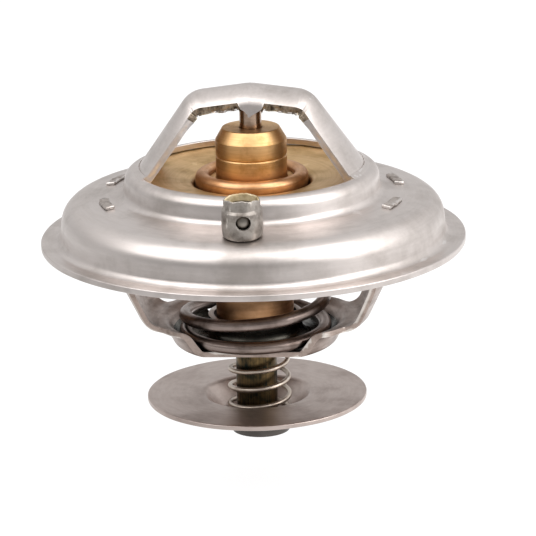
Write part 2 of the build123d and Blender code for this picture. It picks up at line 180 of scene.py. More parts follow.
def eased_loop(loop: Sequence[Place], radius: float) -> list[Vector]:
    """Closed outline with each sharp corner broken by a small radius.

    Args:
        loop: The outline's points, without the first one repeated.
        radius: The largest radius to use.

    Returns:
        The outline with its sharp corners rounded.
    """
    corners = [Vector(p) for p in loop]
    result = []
    for i, corner in enumerate(corners):
        before, after = corners[i - 1], corners[(i + 1) % len(corners)]
        turn = math.pi - (before - corner).angle(after - corner)
        if turn < 1.5 * ARC_STEP:
            result.append(corner)
            continue
        room = 0.4 * min((before - corner).length, (after - corner).length)
        result += corner_arc(before, corner, after, min(radius, room / math.tan(turn / 2)))
    return result


def sheet_loop(path: Sequence[Vector], thickness: float, edge: float) -> list[Vector]:
    """Closed section of a sheet whose one face is the path and whose other face lies to its left."""
    return eased_loop([*path, *reversed(left_of(path, thickness))], edge)


def shade_smooth(mesh: bpy.types.Mesh) -> None:
    """Shades a mesh smooth, with crisp edges where it turns sharply."""
    mesh.polygons.foreach_set("use_smooth", [True] * len(mesh.polygons))
    mesh.set_sharp_from_angle(angle=SHARP_ANGLE)


def make_piece(
    name: str,
    points: Sequence[Place],
    faces: Sequence[Sequence[int]],
    materials: Sequence[Material],
    slots: Sequence[int] | None = None,
) -> Piece:
    """Mesh object from points in millimetres, welded, smooth and facing outwards.

    Args:
        name: The piece's name.
        points: The points in the row frame, in millimetres.
        faces: The points of each face.
        materials: The finishes on the piece.
        slots: Which finish each face has, or None if there is one.

    Returns:
        The linked object, which sits at the origin.
    """
    mesh = bpy.data.meshes.new(name)
    mesh.from_pydata([Vector(p) * MM for p in points], [], faces)
    for material in materials:
        mesh.materials.append(material)
    if slots is not None:
        mesh.polygons.foreach_set("material_index", slots)
    shape = bmesh.new()
    shape.from_mesh(mesh)
    bmesh.ops.remove_doubles(shape, verts=shape.verts, dist=2e-7)
    bmesh.ops.dissolve_degenerate(shape, edges=shape.edges, dist=1e-7)
    bmesh.ops.recalc_face_normals(shape, faces=shape.faces)
    shape.to_mesh(mesh)
    shape.free()
    shade_smooth(mesh)
    piece = bpy.data.objects.new(name, mesh)
    bpy.context.scene.collection.objects.link(piece)
    return piece


def apply_modifiers(piece: Piece) -> None:
    """Turns a piece's modifiers into its own mesh, smooth as before.

    Args:
        piece: The piece.
    """
    graph = bpy.context.evaluated_depsgraph_get()
    graph.update()
    mesh = bpy.data.meshes.new_from_object(piece.evaluated_get(graph))
    piece.modifiers.clear()
    old, piece.data = piece.data, mesh
    bpy.data.meshes.remove(old)
    mesh.name = piece.name
    shade_smooth(mesh)


def soften_edges(piece: Piece, width: float) -> Piece:
    """Breaks a piece's crisp edges.

    Args:
        piece: The piece.
        width: The width of the small round on each edge, in millimetres.

    Returns:
        The same piece.
    """
    bevel = piece.modifiers.new("broken_edges", "BEVEL")
    bevel.width = width * MM
    bevel.segments = 2
    bevel.limit_method = "ANGLE"
    bevel.angle_limit = SHARP_ANGLE
    apply_modifiers(piece)
    return piece


def grid_faces(rows: int, columns: int, looped: bool = False) -> list[tuple[int, int, int, int]]:
    """Faces of a grid of points that are numbered row after row, with each row a closed ring.

    Args:
        rows: How many rows there are.
        columns: How many points each row has.
        looped: Whether the last row joins the first.

    Returns:
        The faces.
    """
    faces = []
    for row in range(rows if looped else rows - 1):
        first, second = row * columns, (row + 1) % rows * columns
        for column in range(columns):
            after = (column + 1) % columns
            faces.append((first + column, first + after, second + after, second + column))
    return faces


def lathe(name: str, loop: Sequence[Vector], material: Material, ripple: Ripple | None = None) -> Piece:
    """Piece turned about the axis from a closed section.

    Args:
        name: The piece's name.
        loop: The section as (radius, height) points in millimetres.
        material: Its finish.
        ripple: Small changes of radius and height at a radius, height and angle.

    Returns:
        The new object.
    """
    points = []
    for step in range(LATHE_STEPS):
        angle = 2 * math.pi * step / LATHE_STEPS
        for radius, height in loop:
            if ripple:
                out, up = ripple(radius, height, angle)
                radius, height = radius + out, height + up
            points.append(polar(radius, angle, height))
    return make_piece(name, points, grid_faces(LATHE_STEPS, len(loop), looped=True), [material])


def dress(piece: Piece, body: str, slot: str, *nodes: str) -> Piece:
    """Gives a finished piece to the frame.

    Args:
        piece: The piece.
        body: The body that it rides on.
        slot: The name of its material slot; not used.
        nodes: The nodes that it stands for.

    Returns:
        The same piece.
    """
    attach(piece, body)
    if nodes:
        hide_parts(*nodes)
    log.info("%s rides on %s, %d faces", piece.name, body, len(piece.data.polygons))
    return piece


def add_node(
    tree: Tree,
    kind: str,
    inputs: dict[str | int, object] | Sequence[object] = (),
    out: str | int = 0,
    **settings: object,
) -> Socket | None:
    """Adds a node with its settings and links.

    Args:
        tree: The node tree.
        kind: The node's type name, without ShaderNode in front.
        inputs: A socket to link, or a value to set, for each input by name or in order.
        out: Which output to hand back.
        settings: The node's own settings.

    Returns:
        That output, or None where the node has none.
    """
    node = tree.nodes.new("ShaderNode" + kind)
    for name, value in settings.items():
        setattr(node, name, value)
    for key, value in (inputs if isinstance(inputs, dict) else dict(enumerate(inputs))).items():
        if isinstance(value, Socket):
            tree.links.new(value, node.inputs[key])
        else:
            node.inputs[key].default_value = value
    return node.outputs[out] if node.outputs else None


class Marks(Enum):
    """How the tool ran: how much of a pattern is kept across, round and along the axis."""

    TURNED = (1.0, 0.02, 1.0)  # rings round the axis
    DRAWN = (0.3, 1.0, 0.05)  # lines along the axis
    PRESSED = (1.0, 0.35, 1.0)  # fine grain with faint rings
    TORN = (1.0, 1.0, 0.5)  # streaks across a sheared edge


@dataclass(frozen=True)
class Finish:
    """Bare surface, described by what a hand lens would show.

    Sizes are in millimetres. Grain finer than the render can show is drawn as coarse as it needs to show.
    """

    name: str
    marks: Marks
    tones: tuple[str, str]  # the clean and the stained colour
    roughness: tuple[float, float]  # where it is smooth and where it is rough
    mark: tuple[float, float]  # width and depth of the tool's marks
    stain: tuple[float, float]  # width of the stains, and how much they cover
    hollow_shade: tuple[str, float] = ("#3a342e", 0.5)  # painted shade in the hollows: its colour, and how much of it
    edge: tuple[str, float] = ("#ffffff", 0.25)  # worn ridges, and how much they show
    sheen: float = 0.0
    metallic: float = 1.0
    grain: float = 0.35  # width of the surface's own grain
    shade_reach: float = 1.6  # how near a wall has to be for the painted shade
    mean_r: float = 10.0  # radius at which marks round the axis keep their width

    def make(self) -> Material:
        """Builds the material.

        Returns:
            The finished material.
        """
        material = bpy.data.materials.new(self.name)
        material.use_nodes = True
        tree = material.node_tree
        shader = tree.nodes["Principled BSDF"]
        shader.inputs["Metallic"].default_value = self.metallic
        shader.inputs["Anisotropic"].default_value = self.sheen
        place = add_node(tree, "TexCoord", out="Object")
        around = self.around_axis(tree, place)
        mark_width, mark_depth = self.mark
        stain_width, stain_share = self.stain

        lines_look = {"Vector": around, "Scale": 1 / (mark_width * MM), "Detail": 5.0, "Roughness": 0.65}
        lines = add_node(tree, "TexNoise", lines_look, out="Fac")
        stains_look = {"Vector": place, "Scale": 1 / (stain_width * MM), "Detail": 6.0, "Roughness": 0.6}
        stains = add_node(tree, "TexNoise", stains_look, out="Fac")
        stained = add_node(tree, "MapRange", [stains, 0.62 - 0.3 * stain_share, 0.74, 0.0, 1.0])
        streaks = add_node(tree, "MapRange", [lines, 0.35, 0.7, 0.0, 0.35])
        darkness = add_node(tree, "Math", [stained, streaks], operation="ADD", use_clamp=True)
        # painted shade: the colour darkens where ambient occlusion finds a wall near, as shade would fall
        hollow = add_node(tree, "AmbientOcclusion", {"Distance": self.shade_reach * MM}, out="AO", samples=6)
        painted_shade = add_node(tree, "MapRange", [hollow, 0.25, 0.75, self.hollow_shade[1], 0.0])
        ridge = add_node(tree, "NewGeometry", out="Pointiness")
        worn = add_node(tree, "MapRange", [ridge, 0.53, 0.62, 0.0, self.edge[1]])
        colour = linear(self.tones[0])
        for share, tone in ((darkness, self.tones[1]), (painted_shade, self.hollow_shade[0]), (worn, self.edge[0])):
            blend = {"Factor": share, 6: colour, 7: linear(tone)}
            colour = add_node(tree, "Mix", blend, out=2, data_type="RGBA")

        mixed = add_node(tree, "Math", [lines, stains], operation="ADD")
        fine = add_node(
            tree, "TexNoise", {"Vector": place, "Scale": 1 / (self.grain * MM), "Detail": 3.0}, out="Fac"
        )
        relief = add_node(tree, "Math", [fine, 0.35, lines], operation="MULTIPLY_ADD")
        bump = {"Height": relief, "Distance": mark_depth * MM, "Strength": 1.0}
        sockets = {
            "Base Color": colour,
            "Roughness": add_node(tree, "MapRange", [mixed, 0.7, 1.3, *self.roughness]),
            "Normal": add_node(tree, "Bump", bump, out="Normal"),
        }
        if self.sheen:
            sockets["Tangent"] = add_node(tree, "Tangent", direction_type="RADIAL", axis="Z")
        for name, socket in sockets.items():
            tree.links.new(socket, shader.inputs[name])
        return material

    def around_axis(self, tree: Tree, place: Socket) -> Socket:
        """Coordinates across, round and along the axis, stretched the way the tool ran.

        Args:
            tree: The node tree.
            place: The place on the piece.

        Returns:
            The stretched coordinates.
        """
        x, y, z = add_node(tree, "SeparateXYZ", [place]).node.outputs
        flat = add_node(tree, "CombineXYZ", [x, y])
        radius = add_node(tree, "VectorMath", [flat], out="Value", operation="LENGTH")
        angle = add_node(tree, "Math", [y, x], operation="ARCTAN2")
        arc = add_node(tree, "Math", [angle, self.mean_r * MM], operation="MULTIPLY")
        joined = add_node(tree, "CombineXYZ", [radius, arc, z])
        return add_node(tree, "VectorMath", [joined, self.marks.value], operation="MULTIPLY")


# Bright annealed stainless sheet after pressing: pale, satin, with faint rings from the die
PRESSED_STAINLESS = Finish(
    "pressed_stainless", Marks.PRESSED, tones=("#d2cac6", "#b2aaa5"), roughness=(0.31, 0.44),
    mark=(0.9, 0.006), stain=(9.0, 0.5), hollow_shade=("#8d8680", 0.25), sheen=0.35,
)
# The same sheet where the punch tore it: dark fracture with bright and golden streaks
SHEARED_STAINLESS = Finish(
    "sheared_stainless", Marks.TORN, tones=("#b09f8c", "#2e2620"), roughness=(0.3, 0.6), mark=(0.5, 0.09),
    stain=(1.4, 0.9), edge=("#fff0d2", 0.7),
)
# Plain steel strip after pressing: warm dull grey with a film of oil, and painted shade in its hollows
PRESSED_STRIP_STEEL = Finish(
    "pressed_strip_steel", Marks.PRESSED, tones=("#ab9b93", "#786a62"), roughness=(0.26, 0.45),
    mark=(0.7, 0.008), stain=(6.0, 0.6), hollow_shade=("#2c2622", 0.6), edge=("#f6f1ea", 0.45),
)
# The cut edge of that strip: the same grey with fine lines from the die
CUT_STRIP_STEEL = Finish(
    "cut_strip_steel", Marks.TURNED, tones=("#b3a299", "#84756c"), roughness=(0.28, 0.45), mark=(0.3, 0.02),
    stain=(2.5, 0.4), edge=("#fbf6ef", 0.6),
)
# Tab ends of that strip, peened flat over the flange: grey with punch dents
STAKED_STRIP_STEEL = Finish(
    "staked_strip_steel", Marks.TORN, tones=("#c2b8b1", "#8b8079"), roughness=(0.28, 0.45),
    mark=(0.7, 0.04), stain=(1.6, 0.5), hollow_shade=("#3a342e", 0.7),
)
# The strip inside the pocket, painted greenish black and glossy as painted shade
POCKET_SHADE_STEEL = Finish(
    "oily_strip_steel", Marks.TURNED, tones=("#5e5b54", "#2e2c28"), roughness=(0.18, 0.36),
    mark=(0.6, 0.006), stain=(4.0, 0.7), hollow_shade=("#100f0d", 0.8), edge=("#8c867c", 0.25),
)
# Rolled brass sheet, tumbled: matte gold brown with cloudy stains
TUMBLED_BRASS = Finish(
    "tumbled_brass", Marks.TURNED, tones=("#d6b381", "#ab8955"), roughness=(0.36, 0.5), mark=(0.5, 0.006),
    stain=(5.0, 0.6), hollow_shade=("#6a4a26", 0.4), edge=("#ffe6b5", 0.25),
)
# Brass bar turned on a lathe: polished gold with fine rings that stretch the highlights
TURNED_BRASS = Finish(
    "turned_brass", Marks.TURNED, tones=("#e2b984", "#b3864f"), roughness=(0.36, 0.48), mark=(0.22, 0.004),
    stain=(4.0, 0.4), hollow_shade=("#6a4824", 0.4), edge=("#fff0cf", 0.25), sheen=0.45,
)
# Copper alloy drawn into a cup: reddish gold with brown clouds where it was heated
DRAWN_COPPER = Finish(
    "drawn_copper", Marks.TURNED, tones=("#dbab80", "#b07f55"), roughness=(0.34, 0.5), mark=(0.4, 0.005),
    stain=(3.5, 0.7), hollow_shade=("#3c2110", 0.5), edge=("#ffd9b8", 0.25), sheen=0.3,
)
# Oil tempered spring wire: brown grey film over drawn steel, brighter on its ridges
SPRING_WIRE = Finish(
    "spring_wire", Marks.TURNED, tones=("#a0918a", "#5b4e47"), roughness=(0.24, 0.42), mark=(0.25, 0.008),
    stain=(5.0, 0.5), hollow_shade=("#1d1815", 0.7), edge=("#d9cfc4", 0.25),
)
# Bright drawn wire for the small spring: pale steel with brown painted shade in its hollows
BRIGHT_WIRE = Finish(
    "bright_wire", Marks.TURNED, tones=("#d3c7ba", "#988a7e"), roughness=(0.28, 0.42), mark=(0.25, 0.004),
    stain=(3.0, 0.4), hollow_shade=("#6a5c50", 0.3),
)
# Cold rolled steel blank: warm satin grey with turning marks
ROLLED_DISC_STEEL = Finish(
    "rolled_disc_steel", Marks.PRESSED, tones=("#c5b7b0", "#ad9e97"), roughness=(0.28, 0.42),
    mark=(0.6, 0.006), stain=(6.0, 0.55), hollow_shade=("#2c2521", 0.75), edge=("#e9e2da", 0.25), sheen=0.2,
)
# Brass stem with a black patina that has worn through in streaks
PATINATED_BRASS = Finish(
    "patinated_brass", Marks.DRAWN, tones=("#967a50", "#252a25"), roughness=(0.26, 0.5), mark=(0.7, 0.012),
    stain=(2.4, 1.4), hollow_shade=("#14110e", 0.8), edge=("#cdb183", 0.25),
)
# Blackened steel: oxide film, near black with a grey gloss on the edges
BLACKENED_STEEL = Finish(
    "blackened_steel", Marks.TURNED, tones=("#383332", "#1b1918"), roughness=(0.28, 0.45),
    mark=(0.4, 0.006), stain=(3.0, 0.5), hollow_shade=("#0d0c0b", 0.5), edge=("#9b958f", 0.25),
)
# Ground steel pin: fine rings round it, tinted slightly brown as a painted reflection of the brass beside it
GROUND_PIN_STEEL = Finish(
    "ground_pin_steel", Marks.TURNED, tones=("#a8917f", "#7f6b5c"), roughness=(0.16, 0.28),
    mark=(0.2, 0.003), stain=(3.0, 0.4), hollow_shade=("#4a4038", 0.5),
)
# Tinned steel drawn into a small cage: mottled, bright ridges and dark dents
DRAWN_TINNED_STEEL = Finish(
    "drawn_tinned_steel", Marks.DRAWN, tones=("#a69f98", "#6c645d"), roughness=(0.3, 0.5), mark=(0.8, 0.03),
    stain=(1.8, 0.7), hollow_shade=("#8a8070", 0.15), edge=("#fff9ef", 0.4), metallic=0.8,
)
# The inside of the neck: frosted, pale and slightly golden, as painted light where shade falls
NECK_PAINTED_LIGHT = Finish(
    "tinned_inside", Marks.DRAWN, tones=("#d4c4a2", "#a6916a"), roughness=(0.5, 0.7), mark=(0.8, 0.02),
    stain=(1.8, 0.5), hollow_shade=("#8f7a55", 0.1), metallic=0.3,
)
# Polished bearing steel ball
POLISHED_BALL_STEEL = Finish(
    "polished_ball_steel", Marks.TURNED, tones=("#a29b92", "#766f67"), roughness=(0.25, 0.36),
    mark=(0.6, 0.002), stain=(2.0, 0.4),
)
# Moulded nitrile rubber: black and matte
MOULDED_RUBBER = Finish(
    "moulded_rubber", Marks.PRESSED, tones=("#242424", "#151515"), roughness=(0.6, 0.8), mark=(0.5, 0.01),
    stain=(2.0, 0.5), metallic=0.0,
)
# Turned fluoroplastic ring: waxy off-white
TURNED_FLUOROPLASTIC = Finish(
    "turned_fluoroplastic", Marks.TURNED, tones=("#e6e3da", "#cfcabd"), roughness=(0.4, 0.55),
    mark=(0.3, 0.004), stain=(2.0, 0.4), metallic=0.0,
)
# Cast wax with copper powder in it: brown, dull and grainy
COPPER_FILLED_WAX = Finish(
    "copper_filled_wax", Marks.PRESSED, tones=("#9a6a45", "#6d4527"), roughness=(0.5, 0.7),
    mark=(0.3, 0.01), stain=(1.5, 0.5), metallic=0.0,
)


@dataclass
class Flange:
    """Pressed flange: rim, stepped dome and seat ring, all one sheet."""

    sheet: float = 1.0
    rim_r: float = 33.5
    dome_foot_r: float = 30.5
    dome_foot_round: float = 1.3
    dome_top_r: float = 29.9
    shoulder_r: float = 28.0
    shoulder_round: float = 3.6
    annulus_outer_z: float = 7.2
    annulus_slope: float = math.tan(math.radians(7))
    ring_foot_r: float = 20.3
    ring_foot_round: float = 1.2
    ring_top_r: float = 19.85
    ring_height: float = 12.1
    ring_round: float = 1.7
    opening_r: float = 18.0

    def annulus_z(self, radius: float) -> float:
        """Height of the sloping annulus at a radius."""
        return self.annulus_outer_z + (self.shoulder_r - radius) * self.annulus_slope

    def ring_z(self, radius: float) -> float:
        """Height of the seat ring's top at a radius, falling away over its rounded corner."""
        past = radius - (self.ring_top_r - self.ring_round)
        if past <= 0:
            return self.ring_height
        drop = self.ring_round**2 - min(past, self.ring_round) ** 2
        steep = 4 * max(0.0, past - self.ring_round)
        return self.ring_height - self.ring_round + math.sqrt(drop) - steep

    def build(self, material: Material) -> Piece:
        """Turns the pressing's section about the axis, with the slight waves that pressing leaves."""
        path = rounded_path(
            [
                (self.rim_r, self.sheet), (self.dome_foot_r, self.sheet),
                (self.dome_top_r, self.annulus_z(self.dome_top_r)),
                (self.ring_foot_r, self.annulus_z(self.ring_foot_r)), (self.ring_top_r, self.ring_height),
                (self.opening_r, self.ring_height),
            ],
            [self.dome_foot_round, self.shoulder_round, self.ring_foot_round, self.ring_round],
        )

        def waves(radius: float, height: float, angle: float) -> tuple[float, float]:
            around = Vector((math.cos(angle), math.sin(angle)))
            swell = rough_at(around.x * 1.3 + radius * 0.05, around.y * 1.3, height * 0.1)
            fine_wave = rough_at(around.x * 6, around.y * 6, radius * 0.4)
            return 0.02 * fine_wave, 0.05 * swell * ease(self.rim_r - radius, 0, 3)

        return lathe("flange", sheet_loop(resampled(path, 0.8), self.sheet, 0.2), material, waves)


@dataclass
class Bridge:
    """Arched strap over the valve, with the two tongues that hold the piston."""

    flange: Flange
    height: float = 25.42
    sheet: float = 1.1
    crest_slope: float = math.radians(7.3)
    crest_round: float = 6.0
    shoulder_x: float = 9.47
    bend_round: float = 4.4
    leg_angle: float = math.radians(55.29)
    foot_z: float = 10.5
    middle_half_width: float = 4.2
    foot_half_width: float = 8.2
    middle_drop: float = 1.9
    foot_drop: float = 1.45
    tongue_half_width: float = 2.05
    tongue_root: float = 0.35
    tongue_tip_z: float = 21.15
    tongue_shoulder_z: float = 22.5
    tongue_bend: float = 2.2
    tongue_start: float = 3.6
    tongue_lean: float = math.radians(-11)
    tongue_shift: float = 0.45
    leg_widening: float = 0.4
    step: float = 0.16
    across: int = 40
    edge_rows: int = 6
    fillet: float = 1.5
    tongue_reach: float = 3.4
    tongue_tip_round: float = 0.3
    torn_share: float = 1.16
    bend_steps: int = 12
    drop_steps: int = 6

    def crest(self) -> list[Vector]:
        """Even points along the strap's crest, from foot to foot, as (x, z)."""
        apex = self.height + self.crest_round * (1 / math.cos(self.crest_slope) - 1)
        shoulder_z = apex - self.shoulder_x * math.tan(self.crest_slope)
        foot_x = self.shoulder_x + (shoulder_z - self.foot_z) / math.tan(self.leg_angle)
        path = rounded_path(
            [
                (-foot_x, self.foot_z), (-self.shoulder_x, shoulder_z), (0, apex),
                (self.shoulder_x, shoulder_z), (foot_x, self.foot_z),
            ],
            [self.bend_round, self.crest_round, self.bend_round],
        )
        points, left = [path[0]], self.step
        for start, end in zip(path, path[1:]):
            length = (end - start).length
            at = left
            while at < length:
                points.append(start.lerp(end, at / length))
                at += self.step
            left = at - length
        return points

    def reach_down(self, x: float) -> float:
        """How far the tongue hangs below the crest at a place along the bridge."""
        side = abs(x - self.tongue_shift)
        tip = self.height - self.tongue_tip_z
        shoulder = self.height - self.tongue_shoulder_z
        softened = math.hypot(side, self.tongue_tip_round) - self.tongue_tip_round
        hang = tip + (shoulder - tip) * softened / (self.tongue_half_width - self.tongue_tip_round)
        strap = self.middle_drop + self.sheet * 0.2
        share = 1 - ease(side, self.tongue_half_width - 0.1, self.tongue_half_width + self.tongue_root)
        return strap + (max(hang, strap) - strap) * share

    def guide(
        self, half_width: float, drop: float, hang: float, square: float
    ) -> list[tuple[Vector, Vector]]:
        """One side of the strap's section, from its crest to its edge.

        Args:
            half_width: The strap's half width here.
            drop: How far its edge lies below its crest.
            hang: How far the sheet reaches below its crest, past the edge where a tongue hangs.
            square: How square to the sheet its edge is cut, from 0 to 1.

        Returns:
            Points (out, down) and the way into the sheet at each.
        """
        radius = (half_width**2 + drop**2) / (2 * drop)
        tongue = hang > drop + self.sheet * 0.3
        edge = math.asin(min(1.0, (self.tongue_start if tongue else half_width) / radius))
        samples = []
        arch_steps = self.across // 2
        for i in range(arch_steps + 1):
            turn = edge * i / arch_steps
            samples.append((Vector((radius * math.sin(turn), radius * (1 - math.cos(turn)))), turn))
        if tongue:
            last, turn = samples[-1]
            full = math.pi / 2 + self.tongue_lean
            bend = (full - turn) / self.bend_steps
            for i in range(1, self.bend_steps + 1):
                now = turn + bend * i
                middle = now - bend / 2
                reach = self.tongue_bend * bend
                last = last + Vector((math.cos(middle), math.sin(middle))) * reach
                samples.append((last, now))
            rest = max(0.0, hang - last.y) / math.sin(full)
            for i in range(1, self.drop_steps + 1):
                samples.append((last + polar(rest * i / self.drop_steps, full).xy, full))
        kept = self.trimmed(samples, max(hang, drop) if tongue else None)
        share = max(square, ease(hang, drop + 0.3, drop + 1.4))
        result = []
        for point, turn in kept:
            inward = Vector((-math.sin(turn), math.cos(turn)))
            result.append((point, Vector((0, 1)).lerp(inward, share).normalized()))
        return result

    def trimmed(self, samples: list[tuple[Vector, float]], depth: float | None) -> list[tuple[Vector, float]]:
        """The section cut off at a depth and spread over an even number of points."""
        if depth is not None:
            cut = [s for s in samples if s[0].y < depth]
            if len(cut) < len(samples) and cut:
                low, high = cut[-1], samples[len(cut)]
                share = (depth - low[0].y) / max(1e-6, high[0].y - low[0].y)
                cut.append((low[0].lerp(high[0], share), low[1] + (high[1] - low[1]) * share))
            samples = cut
        lengths = [0.0]
        for (a, _), (b, _) in zip(samples, samples[1:]):
            lengths.append(lengths[-1] + (b - a).length)
        spread, at = [], 0
        for i in range(self.across + 1):
            want = lengths[-1] * i / self.across
            while at < len(lengths) - 2 and lengths[at + 1] < want:
                at += 1
            span = max(1e-6, lengths[at + 1] - lengths[at])
            share = min(1.0, max(0.0, (want - lengths[at]) / span))
            (a, turn_a), (b, turn_b) = samples[at], samples[at + 1]
            spread.append((a.lerp(b, share), turn_a + (turn_b - turn_a) * share))
        return spread

    def settle(self, point: Vector) -> Vector:
        """Moves a point of the outer face onto a fillet where the leg meets the seat ring."""
        radius = math.hypot(point.x, point.y)
        ring = self.flange.ring_z(radius)
        gap = point.z - ring
        if gap > self.fillet or radius < self.flange.opening_r - 0.3:
            return point
        near = max(0.0, 1 - abs(gap) / self.fillet)
        raised = max(point.z, ring) + self.fillet * near * near / 4
        if gap < 0:
            raised = ring + self.fillet * near * near / 4 - 0.12 * ease(-gap, 0.4, 1.6) * self.fillet
        return Vector((point.x, point.y, raised))

    def bury(self, point: Vector) -> Vector:
        """Keeps a point of the foot inside the seat ring's own sheet."""
        radius = math.hypot(point.x, point.y)
        limit = self.flange.ring_top_r - 0.4 + 0.9 * max(0.0, point.z - self.flange.ring_height + 0.8)
        share = min(1.0, limit / radius)
        low = self.flange.ring_height - self.flange.sheet + 0.1
        return Vector((point.x * share, point.y * share, max(point.z, low)))

    def build(self, faces_finish: Material, edge_finish: Material) -> Piece:
        """Builds the strap with torn edges.

        Args:
            faces_finish: The pressed faces' material.
            edge_finish: The torn edges' material.

        Returns:
            The bridge as one object.
        """
        crest = self.crest()
        count = len(crest)
        points: list[Vector] = []
        for i, here in enumerate(crest):
            along = (crest[min(i + 1, count - 1)] - crest[max(i - 1, 0)]).normalized()
            up = Vector((-along.y, along.x))
            past = ease(abs(here.x), 0.9 * self.shoulder_x, 2.1 * self.shoulder_x)
            linear_past = min(1.0, max(0.0, (abs(here.x) - self.shoulder_x) / (0.95 * self.shoulder_x)))
            width = self.middle_half_width + (self.foot_half_width - self.middle_half_width) * linear_past
            drop = self.middle_drop + (self.foot_drop - self.middle_drop) * past
            hang = self.reach_down(here.x) if abs(here.x) < self.tongue_reach else drop
            leg = ease(abs(here.x), self.shoulder_x, self.shoulder_x + 3)
            side = self.guide(width + self.leg_widening * leg, drop, hang, 0.5 * leg)
            for sign in (-1, 1):
                outer, inner = [], []
                for point, inward in side:
                    outer.append(self.place(here, up, sign * point.x, -point.y))
                    back = point + inward * self.sheet
                    inner.append(self.place(here, up, sign * back.x, -back.y))
                outer = [self.settle(p) for p in outer]
                edge = self.torn_edge(outer[-1], inner[-1], sign, here.x)
                inner[-1] = edge.pop()
                if sign < 0:
                    ring = [*reversed(outer)]
                    front_edge, front_inner = edge, inner
                else:
                    ring += [*outer[1:], *edge, *reversed(inner), *front_inner[1:], *reversed(front_edge)]
            points += [self.bury(p) for p in ring] if abs(here.x) > self.shoulder_x else ring
        per_ring = len(points) // count
        faces = grid_faces(count, per_ring)
        outer_count = 2 * self.across + 1
        torn = set(range(outer_count - 1, outer_count + self.edge_rows - 1))
        torn |= set(range(per_ring - self.edge_rows, per_ring))
        legs = [abs(crest[row].x) > self.torn_share * self.shoulder_x for row in range(count)]
        slots = [int(i % per_ring in torn and not legs[i // per_ring]) for i in range(len(faces))]
        ends = [tuple(range(per_ring)), tuple(reversed(range((count - 1) * per_ring, count * per_ring)))]
        return make_piece("bridge", points, [*faces, *ends], [faces_finish, edge_finish], [*slots, 1, 1])

    def place(self, here: Vector, up: Vector, out: float, rise: float) -> Vector:
        """Point of the strap at a distance out from the crest and above it."""
        return Vector((here.x + up.x * rise, out, here.y + up.y * rise))

    def torn_edge(self, outer: Vector, inner: Vector, sign: int, x: float) -> list[Vector]:
        """Points down the sheared edge, with the relief of a fracture.

        Args:
            outer: The edge of the outer face.
            inner: The edge of the inner face.
            sign: Which side of the bridge the edge is on.
            x: Where along the bridge it is.

        Returns:
            The points between the two faces, and last the new edge of the inner face.
        """
        bend = 1 - ease(abs(abs(x) - self.shoulder_x), 0.6, 2.6)
        torn = 0.25 + 0.75 * max(bend, 0.55 * (1 - ease(abs(x), 8.0, 10.0)))
        clump = 0.5 + 0.5 * rough_at(x * 0.35, sign * 7.0, 3.1)
        rag = rough_at(x * 0.83, sign * 3.0, 0.4) + 0.45 * rough_at(x * 2.3, sign * 5.0, 1.7)
        length = 1 + torn * (0.3 * rag + 0.2 * clump) / self.sheet
        down = (inner - outer) * length
        result = []
        for row in range(1, self.edge_rows + 1):
            share = row / self.edge_rows
            deep = ease(share, 0.25, 0.6)
            relief = 0.2 * torn * deep * rough_at(x * 1.3, share * 2.0, sign * 9.0)
            relief += 0.1 * torn * deep * rough_at(x * 3.9, share * 5.0, sign * 4.0)
            out = Vector((0, sign * (relief - 0.06 * deep), 0))
            result.append(outer + down * share + out)
        return result


class StripFace(IntEnum):
    """Which finish a face of the strip has."""

    ROLLED = 0
    CUT = 1
    HEAD = 2
    # painted shade: the pocket's inner faces get a near-black finish
    OILY = 3


@dataclass
class StripMesh:
    """Rows of points and the faces between them, as the strip's mesh grows."""

    points: list[Vector] = field(default_factory=list)
    faces: list[tuple[int, ...]] = field(default_factory=list)
    slots: list[StripFace] = field(default_factory=list)

    def add_row(self, row: Sequence[Vector]) -> range:
        """Adds a row of points and returns their numbers."""
        start = len(self.points)
        self.points.extend(row)
        return range(start, len(self.points))

    def add_face(self, corners: Sequence[int], slot: StripFace) -> None:
        """Adds one face with its finish."""
        self.faces.append(tuple(corners))
        self.slots.append(slot)

    def join(self, rows: Sequence[Sequence[int]], slot: StripFace) -> None:
        """Adds the faces between each row and the next."""
        for first, second in zip(rows, rows[1:]):
            for i in range(len(first) - 1):
                self.add_face((first[i], first[i + 1], second[i + 1], second[i]), slot)


